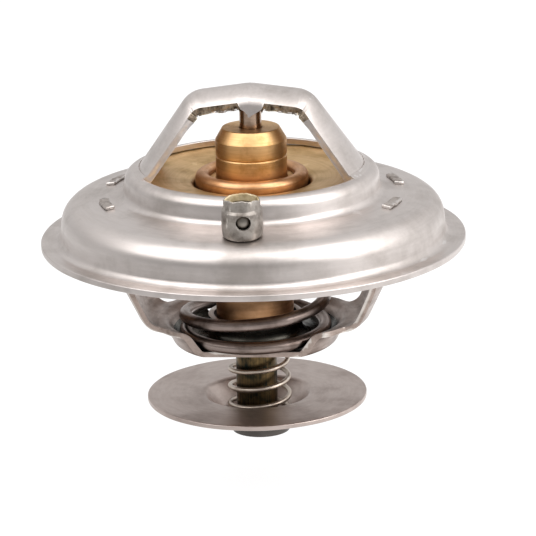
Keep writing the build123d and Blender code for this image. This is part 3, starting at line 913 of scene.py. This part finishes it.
@dataclass
class LowerFrame:
    """Pressed strip: a neck round the cup, the spring pocket, the legs, and tabs staked over the flange."""

    flange: Flange
    sheet: float = 0.85
    half_width: float = 9.65
    bottom: float = -16.35
    hole_r: float = 6.6
    neck_top: float = -11.9
    neck_round: float = 2.85
    floor_r: float = 12.85
    pocket_rim_r: float = 14.4
    pocket_flange_r: float = 15.3
    pocket_round: float = 1.2
    shelf_z: float = -13.15
    shelf_r: float = 17.7
    shelf_round: float = 1.0
    shelf_bend: float = 3.0
    leg_bend_r: float = 20.8
    leg_bend_z: float = -6.6
    leg_bend: float = 10.0
    leg_top_r: float = 23.9
    leg_straight_z: float = 4.0
    narrow_half_width: float = 6.8
    narrow_z: float = -10.0
    wide_z: float = 3.0
    tab_inner_y: float = 4.9
    head_spread: float = 0.34
    head_height: float = 0.5
    row_step: float = 0.42
    middle_columns: int = 22
    tab_columns: int = 22

    def width_at(self, radius: float, height: float) -> float:
        """Half width of the strip at a radius and height."""
        share = min(1.0, max(0.0, (height - self.narrow_z) / (self.wide_z - self.narrow_z)))
        narrow = self.narrow_half_width + (self.half_width - self.narrow_half_width) * share
        flange = 1 - ease(radius, self.pocket_flange_r - 0.25, self.pocket_flange_r + 0.75)
        return narrow + (self.half_width - narrow) * flange

    def section(self) -> tuple[list[Vector], list[Vector]]:
        """Outer and inner faces of the strip, from the neck's rim to the foot of the tabs."""
        tab_foot = self.flange.annulus_z(self.leg_top_r) - self.flange.sheet - 0.05
        path = rounded_path(
            [
                (self.hole_r, self.neck_top), (self.hole_r, self.bottom), (self.floor_r, self.bottom),
                (self.pocket_rim_r, self.shelf_z), (self.shelf_r, self.shelf_z),
                (self.leg_bend_r, self.leg_bend_z), (self.leg_top_r, self.leg_straight_z),
                (self.leg_top_r, tab_foot),
            ],
            [
                self.neck_round, self.pocket_round, self.shelf_round, self.shelf_bend, self.leg_bend,
                self.leg_bend,
            ],
        )
        outer = [path[0]]
        for point in path[1:]:
            start = outer[-1]
            steps = max(1, round((point - start).length / self.row_step))
            stops = [start.lerp(point, (i + 1) / steps) for i in range(steps)]
            if start.x < self.half_width < point.x and abs(start.y - point.y) < 1e-5:
                stops.append(Vector((self.half_width, point.y)))
                stops.sort(key=lambda p: p.x)
            outer += stops
        return outer, left_of(outer, self.sheet)

    def build(
        self,
        faces_finish: Material,
        cut_finish: Material,
        head_finish: Material,
        pocket_shade_finish: Material,
    ) -> Piece:
        """Builds the strip as one closed sheet, with its staked heads.

        Args:
            faces_finish: The rolled faces' material.
            cut_finish: The cut edges' material.
            head_finish: The staked heads' material.
            pocket_shade_finish: The material of the pocket's inside: a near-black glossy finish as painted
                shade.

        Returns:
            The lower frame as one object.
        """
        outer, inner = self.section()
        tab_share = math.asin(self.tab_inner_y / self.leg_top_r) / math.asin(self.half_width / self.leg_top_r)
        half = [tab_share * i / self.middle_columns * 2 for i in range(self.middle_columns // 2)]
        half += [tab_share + (1 - tab_share) * i / self.tab_columns for i in range(self.tab_columns + 1)]
        shares = [-s for s in reversed(half[1:])] + half
        mesh = StripMesh()
        for side in (0.0, math.pi):
            rows = []
            for face in (outer, inner):
                grid = []
                for point in face:
                    reach = math.asin(min(1.0, self.width_at(point.x, point.y) / point.x))
                    turns = [side + share * reach for share in shares]
                    grid.append(mesh.add_row([polar(point.x, turn, point.y) for turn in turns]))
                for point, first, second in zip(face, grid, grid[1:]):
                    # painted shade: inner faces inside the pocket take the dark finish
                    in_pocket_shade = face is inner and point.x < self.floor_r
                    mesh.join((first, second), StripFace.OILY if in_pocket_shade else StripFace.ROLLED)
                rows.append(grid)
            outer_rows, inner_rows = rows
            mesh.join((outer_rows[0], inner_rows[0]), StripFace.CUT)
            start = next(i for i, p in enumerate(outer) if p.x > self.half_width - 1e-3)
            for end in (0, -1):
                ends = [(a[end], b[end]) for a, b in zip(outer_rows[start:], inner_rows[start:])]
                cut = [[a, *mesh.add_row(self.cut_row(mesh.points[a], mesh.points[b])), b] for a, b in ends]
                mesh.join(cut, StripFace.CUT)
            first_tab = self.tab_columns
            last_tab = len(shares) - 1 - self.tab_columns
            middle = slice(first_tab, last_tab + 1)
            mesh.join((outer_rows[-1][middle], inner_rows[-1][middle]), StripFace.CUT)
            for columns in (slice(0, first_tab + 1), slice(last_tab, len(shares))):
                turns = [side + s * math.asin(self.half_width / self.leg_top_r) for s in shares[columns]]
                self.stake(mesh, outer_rows[-1][columns], inner_rows[-1][columns], turns)
        finishes = [faces_finish, cut_finish, head_finish, pocket_shade_finish]
        frame = make_piece("lower_frame", mesh.points, mesh.faces, finishes, mesh.slots)
        return soften_edges(frame, 0.07)

    def cut_row(self, outer: Vector, inner: Vector) -> list[Vector]:
        """Points across one place of the cut edge, with the waviness of a shear cut.

        Args:
            outer: The edge of the outer face.
            inner: The edge of the inner face.

        Returns:
            The points between the two faces.
        """
        away = Vector((0, math.copysign(1, outer.y), 0))
        row = []
        for share in (0.33, 0.66):
            place = outer.lerp(inner, share)
            row.append(place + away * 0.05 * rough_at(place.x * 2, place.y, place.z * 2))
        return row

    def stake(
        self,
        mesh: StripMesh,
        outer_row: Sequence[int],
        inner_row: Sequence[int],
        turns: Sequence[float],
    ) -> None:
        """Adds one tab through the flange, peened over into a rough head.

        Args:
            mesh: The strip's mesh so far.
            outer_row: The outer points that the tab grows from.
            inner_row: The inner points that it grows from.
            turns: The angle of each column round the axis.
        """
        middle_r = self.leg_top_r - self.sheet / 2
        spread, height = self.head_spread, self.head_height
        profile = [
            (0.0, -0.5), (0.0, 0.0), (0.8 * spread, 0.02), (spread, 0.14), (spread, 0.5 * height),
            (0.85 * spread, 0.8 * height), (0.45 * spread, 0.97 * height),
        ]
        centre = sum(turns) / len(turns)
        length = turns[-1] - turns[0]

        def row_at(radius: float, height: float, wide: float) -> range:
            row = []
            for turn in turns:
                share = (turn - centre) / length * 2
                past = 0.16 * wide / self.head_spread * share**5 / radius
                base = self.flange.annulus_z(radius)
                place = polar(radius, turn + past, base + height)
                if height > 0.01:
                    dent = rough_at(place.x * 1.1, place.y * 1.1, place.z * 1.4)
                    fine = rough_at(place.x * 3.7, place.y * 3.7, place.z * 3.0)
                    away = polar(1 if radius > middle_r else -1, turn)
                    place += away * (0.14 * dent + 0.05 * fine)
                    place.z += (0.12 * fine - 0.14 * max(0.0, dent)) * height / self.head_height
                row.append(place)
            return mesh.add_row(row)

        outer_rows, inner_rows = [outer_row], [inner_row]
        for wide, up in profile:
            outer_rows.append(row_at(middle_r + self.sheet / 2 + wide, up, wide))
            inner_rows.append(row_at(middle_r - self.sheet / 2 - wide, up, wide))
        reach = self.sheet / 2 + profile[-1][0]
        tops = [row_at(middle_r + reach * share, height, 0.45 * spread) for share in (0.5, 0.0, -0.5)]
        over = [outer_rows[-1], *tops, inner_rows[-1]]
        for rows in (outer_rows, inner_rows, over):
            mesh.join(rows, StripFace.HEAD)
        for end in (0, -1):
            pairs = [(first[end], second[end]) for first, second in zip(outer_rows, inner_rows)]
            for (a, b), (c, d) in zip(pairs, pairs[1:]):
                mesh.add_face((a, c, d, b), StripFace.HEAD)
            mesh.add_face([row[end] for row in over], StripFace.HEAD)


@dataclass
class Vent:
    """Riveted vent cage with a crimped open top and a side hole."""

    flange: Flange
    place_r: float = 24.0
    place_turn: float = math.radians(0.8)
    sheet: float = 0.45
    radius: float = 3.05
    neck_r: float = 2.65
    fold_z: float = 4.3
    height: float = 5.85
    hole_r: float = 1.15
    hole_z: float = 3.1
    hole_turn: float = math.radians(6.8)
    waves: int = 6
    rivet_r: float = 2.3
    flare_r: float = 3.1
    bore_r: float = 1.5
    packed: float = 0.05
    neck_wall_share: float = 0.78
    front_lift: float = 0.5
    front_draw: float = 0.55
    side_bulge: float = 0.12

    def build(self, outside: Material, inside: Material) -> Piece:
        """Turns the cage, crimps its rim, bores its side hole and tilts it onto the annulus.

        Args:
            outside: The cage's material.
            inside: The pale material on the neck's inner wall, as painted light.

        Returns:
            The cage as one object.
        """
        seat = -self.flange.sheet - self.packed
        neck_bore = self.neck_r - self.neck_wall_share * self.sheet
        neck_z = self.fold_z + self.radius - self.neck_r
        outline = rounded_path(
            [
                (self.bore_r, seat - self.sheet), (self.flare_r, seat - self.sheet), (self.flare_r, seat),
                (self.rivet_r, seat), (self.rivet_r, self.packed), (self.radius, self.packed),
                (self.radius, self.fold_z), (self.neck_r, neck_z), (self.neck_r, self.height),
                (neck_bore, self.height), (neck_bore, neck_z), (self.radius - self.sheet, self.fold_z),
                (self.radius - self.sheet, self.sheet + self.packed),
                (self.bore_r, self.sheet + self.packed),
            ],
            [0.15, 0.1, 0, 0.1, 0.35, 0.22, 0.16, 0.18, 0.18, 0.2, 0.15, 0.35],
        )

        def crimp(radius: float, height: float, angle: float) -> tuple[float, float]:
            if radius < self.bore_r + 0.4 or height <= 0:
                return 0.0, 0.0
            high = ease(height, self.fold_z - 0.2, self.height)
            wave = math.cos(self.waves * angle + 0.5 + 0.8 * math.sin(angle))
            dent = rough_at(math.cos(angle) * 1.8, math.sin(angle) * 1.8, height * 0.5)
            ruffle = rough_at(math.cos(angle) * 5.0, math.sin(angle) * 5.0, height * 1.2)
            bulge = self.side_bulge * math.sin(math.pi * min(1.0, height / self.fold_z))
            pulled = high * (0.07 * wave + 0.1 + 0.08 * ruffle)
            front = max(0.0, -math.sin(angle))
            sag = 0.16 * abs(ruffle) + 0.05 * (1 + wave) - self.front_lift * front
            return pulled + bulge + 0.06 * dent - self.front_draw * high * high * front, -high * high * sag

        cage = lathe("vent_cage", resampled(outline, 0.3), outside, crimp)
        # painted light: the inner wall above the fold gets a pale golden finish where shade falls
        cage.data.materials.append(inside)
        for face in cage.data.polygons:
            middle, way = face.center / MM, face.normal
            inwards = middle.x * way.x + middle.y * way.y < 0
            face.material_index = int(inwards and middle.z > self.fold_z)
        bore = bmesh.new()
        bmesh.ops.create_cone(
            bore,
            cap_ends=True,
            segments=48,
            radius1=self.hole_r * MM,
            radius2=self.hole_r * MM,
            depth=2 * self.radius * MM,
            matrix=Matrix.Rotation(self.hole_turn, 4, "Z")
            @ Matrix.Translation((0, -self.radius * MM, self.hole_z * MM))
            @ Matrix.Rotation(math.pi / 2, 4, "X"),
        )
        cutter_mesh = bpy.data.meshes.new("side_hole")
        bore.to_mesh(cutter_mesh)
        bore.free()
        cutter = bpy.data.objects.new("side_hole", cutter_mesh)
        bpy.context.scene.collection.objects.link(cutter)
        cut = cage.modifiers.new("side_hole", "BOOLEAN")
        cut.object = cutter
        cut.operation = "DIFFERENCE"
        cut.solver = "EXACT"
        apply_modifiers(cage)
        bpy.data.objects.remove(cutter)
        bpy.data.meshes.remove(cutter_mesh)
        slope = math.atan(self.flange.annulus_slope)
        base = Vector((0, -self.place_r, self.flange.annulus_z(self.place_r))) * MM
        tilt = Matrix.Translation(base) @ Matrix.Rotation(slope, 4, "X")
        cage.data.transform(Matrix.Rotation(self.place_turn, 4, "Z") @ tilt)
        return cage


@dataclass
class ValvePlate:
    """Golden plate that closes the seat ring from below, with its hub round the cup."""

    sheet: float = 0.7
    outer_r: float = 18.5
    top_z: float = 11.0
    dish_r: float = 12.6
    dish_depth: float = 0.6
    dish_round: float = 3.0
    inner_z: float = 9.9
    hub_r: float = 9.8
    hub_floor_z: float = 5.0
    hub_round: float = 1.2
    foot_round: float = 0.5
    bore_r: float = 6.65

    def build(self, material: Material) -> Piece:
        """Turns the plate with the ripples of a drawn sheet."""
        hub_bore = self.hub_r - self.sheet
        path = rounded_path(
            [
                (self.outer_r, self.top_z), (self.dish_r, self.top_z - self.dish_depth),
                (hub_bore, self.inner_z), (hub_bore, self.hub_floor_z + self.sheet),
                (self.bore_r, self.hub_floor_z + self.sheet),
            ],
            [self.dish_round, self.hub_round, self.foot_round],
        )

        def ripple(radius: float, height: float, angle: float) -> tuple[float, float]:
            x, y = radius * math.cos(angle), radius * math.sin(angle)
            wave = rough_at(x * 0.35, y * 0.35, 2.0) + 0.4 * rough_at(x * 0.9, y * 0.9, 5.0)
            return 0.0, 0.05 * wave * ease(radius, self.hub_r, self.hub_r + 2)

        return lathe("valve_plate", sheet_loop(resampled(path, 0.5), self.sheet, 0.1), material, ripple)


@dataclass
class WaxElement:
    """Copper cup with its curled rim, the brass guide in it and the steel piston."""

    cup_sheet: float = 0.8
    body_r: float = 6.15
    cup_bottom: float = -16.5
    head_r: float = 8.9
    head_bottom: float = 5.75
    cup_top: float = 11.6
    curl_r: float = 6.65
    curl_depth: float = 1.15
    curl_round: float = 1.1
    cup_round: float = 1.0
    neck_round: float = 0.4
    spigot_r: float = 2.05
    guide_r: float = 5.6
    guide_top: float = 18.5
    guide_top_r: float = 4.5
    chamfer_height: float = 1.9
    groove_z: float = 14.05
    groove_size: float = 0.17
    guide_bottom: float = 9.0
    seal_r: float = 3.0
    seal_top: float = 10.65
    piston_r: float = 1.73
    bore_gap: float = 0.05
    piston_bottom: float = -9.5
    piston_top: float = 24.17
    piston_chamfer: float = 0.6

    def build_cup(self, material: Material) -> Piece:
        """Turns the drawn cup and its curled rim."""
        path = rounded_path(
            [
                (self.spigot_r, self.cup_bottom), (self.body_r, self.cup_bottom),
                (self.body_r, self.head_bottom), (self.head_r, self.head_bottom),
                (self.head_r, self.cup_top), (self.curl_r, self.cup_top),
                (self.curl_r, self.cup_top - self.curl_depth),
            ],
            [self.cup_round, self.neck_round, self.cup_round, self.curl_round, self.curl_round],
        )

        def ripple(radius: float, height: float, angle: float) -> tuple[float, float]:
            wave = rough_at(math.cos(angle) * 2.2, math.sin(angle) * 2.2, height * 0.3)
            return 0.03 * wave * ease(radius, 2.5, 4), 0.03 * wave

        return lathe("element_cup", sheet_loop(path, self.cup_sheet, 0.1), material, ripple)

    def build_guide(self, material: Material) -> Piece:
        """Turns the guide with its chamfer, its fine groove and broken edges."""
        bore = self.piston_r + self.bore_gap
        flange_top = self.cup_top - self.curl_depth - self.bore_gap
        flange_r = self.head_r - self.cup_sheet - self.bore_gap
        loop = [
            (bore, self.guide_top), (self.guide_top_r, self.guide_top),
            (self.guide_r, self.guide_top - self.chamfer_height),
            (self.guide_r, self.groove_z + self.groove_size),
            (self.guide_r - self.groove_size, self.groove_z),
            (self.guide_r, self.groove_z - self.groove_size), (self.guide_r, flange_top),
            (flange_r, flange_top), (flange_r, self.guide_bottom), (self.seal_r, self.guide_bottom),
            (self.seal_r, self.seal_top), (bore, self.seal_top),
        ]
        return lathe("piston_guide", eased_loop(loop, 0.22), material)

    def build_piston(self, material: Material) -> Piece:
        """Turns the piston."""
        shoulder = self.piston_r - self.piston_chamfer
        loop = [
            (AXIS_R, self.piston_bottom), (shoulder, self.piston_bottom),
            (self.piston_r, self.piston_bottom + self.piston_chamfer),
            (self.piston_r, self.piston_top - self.piston_chamfer), (shoulder, self.piston_top),
            (AXIS_R, self.piston_top),
        ]
        return lathe("piston", eased_loop(loop, 0.12), material)


@dataclass
class BypassValve:
    """Stem below the cup, the sprung disc on it, and the washer and clip that keep it there."""

    stem_r: float = 3.25
    stem_top: float = -16.5
    washer_gap: float = 0.05
    disc_sheet: float = 0.75
    disc_r: float = 17.5
    disc_top: float = -25.1
    recess_top_r: float = 8.4
    recess_floor_r: float = 5.9
    recess_depth: float = 3.3
    recess_top_round: float = 1.2
    recess_round: float = 0.6
    washer_r: float = 4.9
    washer_height: float = 1.0
    washer_shift: float = 0.5
    clip_height: float = 1.15
    groove_r: float = 2.5
    stem_tail: float = 0.3
    spigot_r: float = 2.0
    spigot_head_r: float = 3.0
    spigot_head_height: float = 0.6
    cup_sheet: float = 0.8

    def recess_floor(self) -> float:
        """Height of the recess floor's upper face."""
        return self.disc_top - self.recess_depth

    def washer_bottom(self) -> float:
        """Height of the washer's underside."""
        return self.recess_floor() - self.disc_sheet - self.washer_gap - self.washer_height

    def build_disc(self, material: Material) -> Piece:
        """Turns the disc with its sunk middle."""
        path = rounded_path(
            [
                (self.disc_r, self.disc_top), (self.recess_top_r, self.disc_top),
                (self.recess_floor_r, self.recess_floor()), (self.stem_r + 0.05, self.recess_floor()),
            ],
            [self.recess_top_round, self.recess_round],
        )

        def ripple(radius: float, height: float, angle: float) -> tuple[float, float]:
            x, y = radius * math.cos(angle), radius * math.sin(angle)
            return 0.0, 0.035 * rough_at(x * 0.2, y * 0.2, 8.0) * ease(radius, 8, 10)

        return lathe("bypass_disc", sheet_loop(resampled(path, 0.6), self.disc_sheet, 0.16), material, ripple)

    def build_stem(self, material: Material) -> Piece:
        """Turns the stem with its clip groove and the spigot that holds it in the cup."""
        clip_bottom = self.washer_bottom() - self.clip_height
        tail = clip_bottom - self.stem_tail
        inner_top = self.stem_top + self.cup_sheet
        loop = [
            (AXIS_R, tail), (self.stem_r - 0.3, tail), (self.stem_r, tail + 0.3),
            (self.stem_r, clip_bottom - 0.05), (self.groove_r, clip_bottom - 0.05),
            (self.groove_r, self.washer_bottom()), (self.stem_r, self.washer_bottom()),
            (self.stem_r, self.stem_top), (self.spigot_r, self.stem_top), (self.spigot_r, inner_top),
            (self.spigot_head_r, inner_top), (self.spigot_head_r, inner_top + self.spigot_head_height),
            (AXIS_R, inner_top + self.spigot_head_height),
        ]
        return lathe("bypass_stem", eased_loop(loop, 0.12), material)

    def build_washer(self, material: Material) -> Piece:
        """Turns the washer, which has dropped to one side of the stem."""
        top = self.washer_bottom() + self.washer_height
        loop = [
            (self.stem_r + self.washer_shift + 0.05, self.washer_bottom()),
            (self.washer_r, self.washer_bottom()), (self.washer_r, top),
            (self.stem_r + self.washer_shift + 0.05, top),
        ]
        washer = lathe("stem_washer", eased_loop(loop, 0.2), material)
        washer.data.transform(Matrix.Translation((self.washer_shift * MM, 0, 0)))
        return washer


@dataclass
class CoilSpring:
    """Spring of round wire, whose radius and height follow the turn."""

    name: str
    wire_r: float
    turns: float
    phase: float
    low: float
    high: float
    radius_at: Callable[[float], float]
    height_at: Callable[[float], float]
    shift: float = 0.0
    steps_per_turn: int = 90
    sides: int = 24

    def build(self, material: Material) -> Piece:
        """Sweeps the wire along the coil and grinds it flat at both ends."""
        steps = math.ceil(self.turns * self.steps_per_turn)

        def centre(turn: float) -> Vector:
            angle = math.radians(self.phase) + 2 * math.pi * turn
            radius = self.radius_at(turn / self.turns)
            return polar(radius, angle, self.height_at(turn))

        points = []
        for step in range(steps + 1):
            turn = self.turns * step / steps
            here = centre(turn)
            along = (centre(turn + 0.002) - centre(turn - 0.002)).normalized()
            out = Vector((here.x, here.y, 0)).normalized()
            up = along.cross(out).normalized() * -1
            for i in range(self.sides):
                angle = 2 * math.pi * i / self.sides
                place = here + (out * math.cos(angle) + up * math.sin(angle)) * self.wire_r
                place.x += self.shift
                place.z = min(self.high, max(self.low, place.z))
                points.append(place)
        faces: list[Sequence[int]] = list(grid_faces(steps + 1, self.sides))
        faces.append(tuple(range(self.sides)))
        faces.append(tuple(range(steps * self.sides, (steps + 1) * self.sides)))
        return make_piece(self.name, points, faces, [material])


def main_spring() -> CoilSpring:
    """The large spring, whose flat end turns open evenly into the turns between them."""
    low, high, wire_r, pitch, end_turns = -15.5, 9.15, 1.0, 5.6, 1.15
    rise = high - low - 2 * wire_r
    turns = end_turns + rise / pitch

    def eased(turn: float) -> float:
        if turn < end_turns:
            return turn / 2 - end_turns / (2 * math.pi) * math.sin(math.pi * turn / end_turns)
        return turn - end_turns / 2

    def height(turn: float) -> float:
        if turn < turns / 2:
            return low + wire_r + pitch * eased(turn)
        return high - wire_r - pitch * eased(turns - turn)

    return CoilSpring(
        "main_spring",
        wire_r=wire_r,
        turns=turns,
        phase=175.0,
        low=low,
        high=high,
        radius_at=lambda share: 11.1,
        height_at=height,
    )


def bypass_spring() -> CoilSpring:
    """The thin tapered spring round the stem."""
    low, high, pitch = -28.4, -16.5, 2.93
    turns = (high - low) / pitch
    return CoilSpring(
        "bypass_spring",
        wire_r=0.4,
        turns=turns,
        phase=12.0,
        low=low,
        high=high,
        radius_at=lambda share: 4.88 - 0.48 * share,
        height_at=lambda turn: low + pitch * turn,
        shift=0.4,
    )


@dataclass
class Studio:
    """Camera, soft lights and a white floor, as for a product on a white table.

    A field of four numbers says where a change of light starts and ends, and its value at both ends.
    """

    frame_px: float = 536.0
    focal_px: float = 3525.4
    origin_px: tuple[float, float] = (253.45, 239.97)
    elevation: float = math.radians(16.04)
    azimuth: float = math.radians(4.6)
    roll: float = math.radians(-1.45)
    distance: float = 0.557
    sensor: float = 36.0
    far_room: tuple[float, ...] = (0.3, 0.95, 0.68, 1.0)  # far half of the room, by height
    near_room: tuple[float, ...] = (0.2, 0.9, 0.32, 1.0)  # half behind the camera, by height
    camera_side: tuple[float, ...] = (-0.1, 0.7, 0.0, 1.0)  # where the near half takes over
    right_wall: tuple[float, ...] = (0.35, 1.0, 0.0, 0.45)  # more light from the right
    floor_z: float = -41.0 * MM
    floor_r: float = 1.6
    floor_glow: float = 1.08  # the floor's brightness to the camera
    floor_mirrored: tuple[float, ...] = (-1.0, 1.0, 0.68, 1.3)  # its brightness in reflections
    floor_bright_side: tuple[float, ...] = (0.9, 0.44, 0.0)  # the way to its brightest side
    floor_seen_share: float = 0.82  # how much of what the camera sees is glow
    floor_mirrored_share: float = 0.9  # the same for reflections

    def way(self, side: float, up: float) -> Vector:
        """The way from the object to a place round it from -Y and above the horizon."""
        flat = math.cos(up)
        return Vector((math.sin(side) * flat, -math.cos(side) * flat, math.sin(up)))

    def place_camera(self) -> None:
        """Puts the camera where the photograph was taken."""
        data = bpy.data.cameras.new("camera")
        data.sensor_width = self.sensor
        data.lens = self.focal_px / self.frame_px * self.sensor
        data.shift_x = (self.frame_px / 2 - self.origin_px[0]) / self.frame_px
        data.shift_y = (self.origin_px[1] - self.frame_px / 2) / self.frame_px
        data.clip_start = 0.01
        data.clip_end = 10
        camera = bpy.data.objects.new("camera", data)
        back = self.way(self.azimuth, self.elevation)
        rolled = (-back).to_track_quat("-Z", "Y").to_matrix().to_4x4() @ Matrix.Rotation(self.roll, 4, "Z")
        camera.matrix_world = Matrix.Translation(back * self.distance) @ rolled
        bpy.context.scene.collection.objects.link(camera)
        bpy.context.scene.camera = camera

    def place_lamp(self, name: str, side: float, up: float, away: float, size: float, power: float) -> None:
        """Adds a soft square lamp that faces the object.

        Args:
            name: The lamp's name.
            side: Its angle from the camera, round the object, in degrees.
            up: Its height above the horizon, in degrees.
            away: Its distance in metres.
            size: Its width in metres.
            power: Its power in watts.
        """
        data = bpy.data.lights.new(name, "AREA")
        data.shape = "SQUARE"
        data.size = size
        data.energy = power
        lamp = bpy.data.objects.new(name, data)
        way = self.way(self.azimuth + math.radians(side), math.radians(up))
        lamp.matrix_world = Matrix.Translation(way * away) @ way.to_track_quat("Z", "Y").to_matrix().to_4x4()
        bpy.context.scene.collection.objects.link(lamp)

    def light_world(self) -> None:
        """White to the camera, and a soft room with a darker side behind the camera to everything else."""
        world = bpy.data.worlds.new("studio")
        world.use_nodes = True
        tree = world.node_tree
        tree.nodes.clear()
        way = add_node(tree, "TexCoord", out="Generated")
        toward = (math.sin(self.azimuth), -math.cos(self.azimuth), 0.0)
        beside = (math.cos(self.azimuth), math.sin(self.azimuth), 0.0)
        facing = add_node(tree, "VectorMath", [way, toward], out="Value", operation="DOT_PRODUCT")
        across = add_node(tree, "VectorMath", [way, beside], out="Value", operation="DOT_PRODUCT")
        height = add_node(tree, "SeparateXYZ", [way], out=2)
        far = add_node(tree, "MapRange", [height, *self.far_room])
        near = add_node(tree, "MapRange", [height, *self.near_room])
        side = add_node(tree, "MapRange", [facing, *self.camera_side], interpolation_type="SMOOTHSTEP")
        middle = add_node(tree, "Mix", {"Factor": side, 2: far, 3: near}, data_type="FLOAT")
        sides = add_node(tree, "MapRange", [across, *self.right_wall])
        level = add_node(tree, "Math", [middle, sides], operation="ADD")
        rays = add_node(tree, "LightPath").node.outputs
        shown = [rays["Is Camera Ray"], rays["Is Transmission Ray"]]
        white = add_node(tree, "Math", shown, operation="MAXIMUM")
        strength = add_node(tree, "Mix", {"Factor": white, 2: level, 3: 1.0}, data_type="FLOAT")
        backdrop = add_node(tree, "Background", {"Color": (1, 1, 1, 1), "Strength": strength})
        add_node(tree, "OutputWorld", {"Surface": backdrop})
        bpy.context.scene.world = world

    def paint_floor(self) -> Material:
        """Paints the floor white, glowing to the camera and unevenly bright in the metal's reflections.

        Returns:
            The floor's material.
        """
        material = bpy.data.materials.new("white_floor")
        material.use_nodes = True
        tree = material.node_tree
        tree.nodes.clear()
        rays = add_node(tree, "LightPath").node.outputs
        seen, mirrored = rays["Is Camera Ray"], rays["Is Glossy Ray"]
        place = add_node(tree, "TexCoord", out="Object")
        way = add_node(tree, "VectorMath", [place], operation="NORMALIZE")
        bright = [way, self.floor_bright_side]
        across = add_node(tree, "VectorMath", bright, out="Value", operation="DOT_PRODUCT")
        uneven = add_node(tree, "MapRange", [across, *self.floor_mirrored])
        strength = add_node(
            tree, "Mix", {"Factor": mirrored, 2: self.floor_glow, 3: uneven}, data_type="FLOAT"
        )
        dimmed = add_node(tree, "Math", [mirrored, self.floor_mirrored_share], operation="MULTIPLY")
        share = add_node(tree, "Math", [seen, self.floor_seen_share, dimmed], operation="MULTIPLY_ADD")
        paint = add_node(tree, "BsdfDiffuse", {"Color": linear("#f2f2f2")})
        glow = add_node(tree, "Emission", {"Color": (1, 1, 1, 1), "Strength": strength})
        both = add_node(tree, "MixShader", [share, paint, glow])
        add_node(tree, "OutputMaterial", {"Surface": both})
        return material

    def lay_floor(self) -> None:
        """Lays a white floor that keeps a faint shadow."""
        shape = bmesh.new()
        bmesh.ops.create_circle(shape, cap_ends=True, segments=96, radius=self.floor_r)
        mesh = bpy.data.meshes.new("floor")
        shape.to_mesh(mesh)
        shape.free()
        mesh.transform(Matrix.Translation((0, 0, self.floor_z)))
        mesh.materials.append(self.paint_floor())
        floor = bpy.data.objects.new("floor", mesh)
        bpy.context.scene.collection.objects.link(floor)

    def build(self) -> None:
        """Sets up the camera, the world, the lamps and the floor."""
        bpy.context.scene.view_settings.view_transform = "Standard"
        self.place_camera()
        self.light_world()
        self.place_lamp("left_softbox", side=-56, up=50, away=0.7, size=0.66, power=2.6)
        self.place_lamp("right_softbox", side=56, up=48, away=0.7, size=0.66, power=2.9)
        self.place_lamp("low_right_softbox", side=64, up=18, away=0.8, size=0.4, power=1.5)
        self.lay_floor()


def dress_node(node: str, material: Material) -> None:
    """Gives a CAD node that stays a procedural material in all its slots."""
    piece = bpy.data.objects[node]
    for slot in piece.material_slots:
        slot.material = material
    log.info("%s keeps its solid, in %s", node, material.name)


def main() -> None:
    """Builds the pieces in order, then the studio."""
    logging.basicConfig(level=logging.INFO, format="%(name)s: %(message)s")
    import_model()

    stainless = PRESSED_STAINLESS.make()
    flange = Flange()
    dress(flange.build(stainless), "housing", "flange_steel", "flange_and_bridge")
    dress(Bridge(flange).build(stainless, SHEARED_STAINLESS.make()), "housing", "flange_steel")
    lower_frame = LowerFrame(flange).build(
        PRESSED_STRIP_STEEL.make(), CUT_STRIP_STEEL.make(), STAKED_STRIP_STEEL.make(), POCKET_SHADE_STEEL.make()
    )
    dress(lower_frame, "housing", "frame_steel", "lower_frame")
    cage = Vent(flange).build(DRAWN_TINNED_STEEL.make(), NECK_PAINTED_LIGHT.make())
    dress(cage, "housing", "vent_steel", "vent_cage")

    dress(ValvePlate().build(TUMBLED_BRASS.make()), "element", "plate_brass", "valve_plate")
    element = WaxElement()
    dress(element.build_cup(DRAWN_COPPER.make()), "element", "cup_copper", "element_cup")
    dress(element.build_guide(TURNED_BRASS.make()), "element", "guide_brass", "piston_guide")
    dress(element.build_piston(GROUND_PIN_STEEL.make()), "housing", "piston_steel", "piston")

    wire = SPRING_WIRE.make()
    large = dress(main_spring().build(wire), "housing", "spring_steel", "main_spring")
    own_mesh(large)
    small = dress(bypass_spring().build(BRIGHT_WIRE.make()), "element", "spring_steel", "bypass_spring")
    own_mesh(small)

    bypass = BypassValve()
    dress(bypass.build_disc(ROLLED_DISC_STEEL.make()), "bypass_disc", "disc_steel", "bypass_disc")
    dress(bypass.build_stem(PATINATED_BRASS.make()), "element", "stem_brass", "bypass_stem")
    blackened = BLACKENED_STEEL.make()
    dress(bypass.build_washer(blackened), "element", "black_steel", "stem_washer")
    dress_node("stem_clip", blackened)
    dress_node("vent_ball", POLISHED_BALL_STEEL.make())
    rubber = MOULDED_RUBBER.make()
    dress_node("piston_seal", rubber)
    dress_node("rubber_boot", rubber)
    dress_node("back_up_ring", TURNED_FLUOROPLASTIC.make())
    dress_node("wax_charge", COPPER_FILLED_WAX.make())

    Studio().build()


if __name__ == "__main__":
    main()
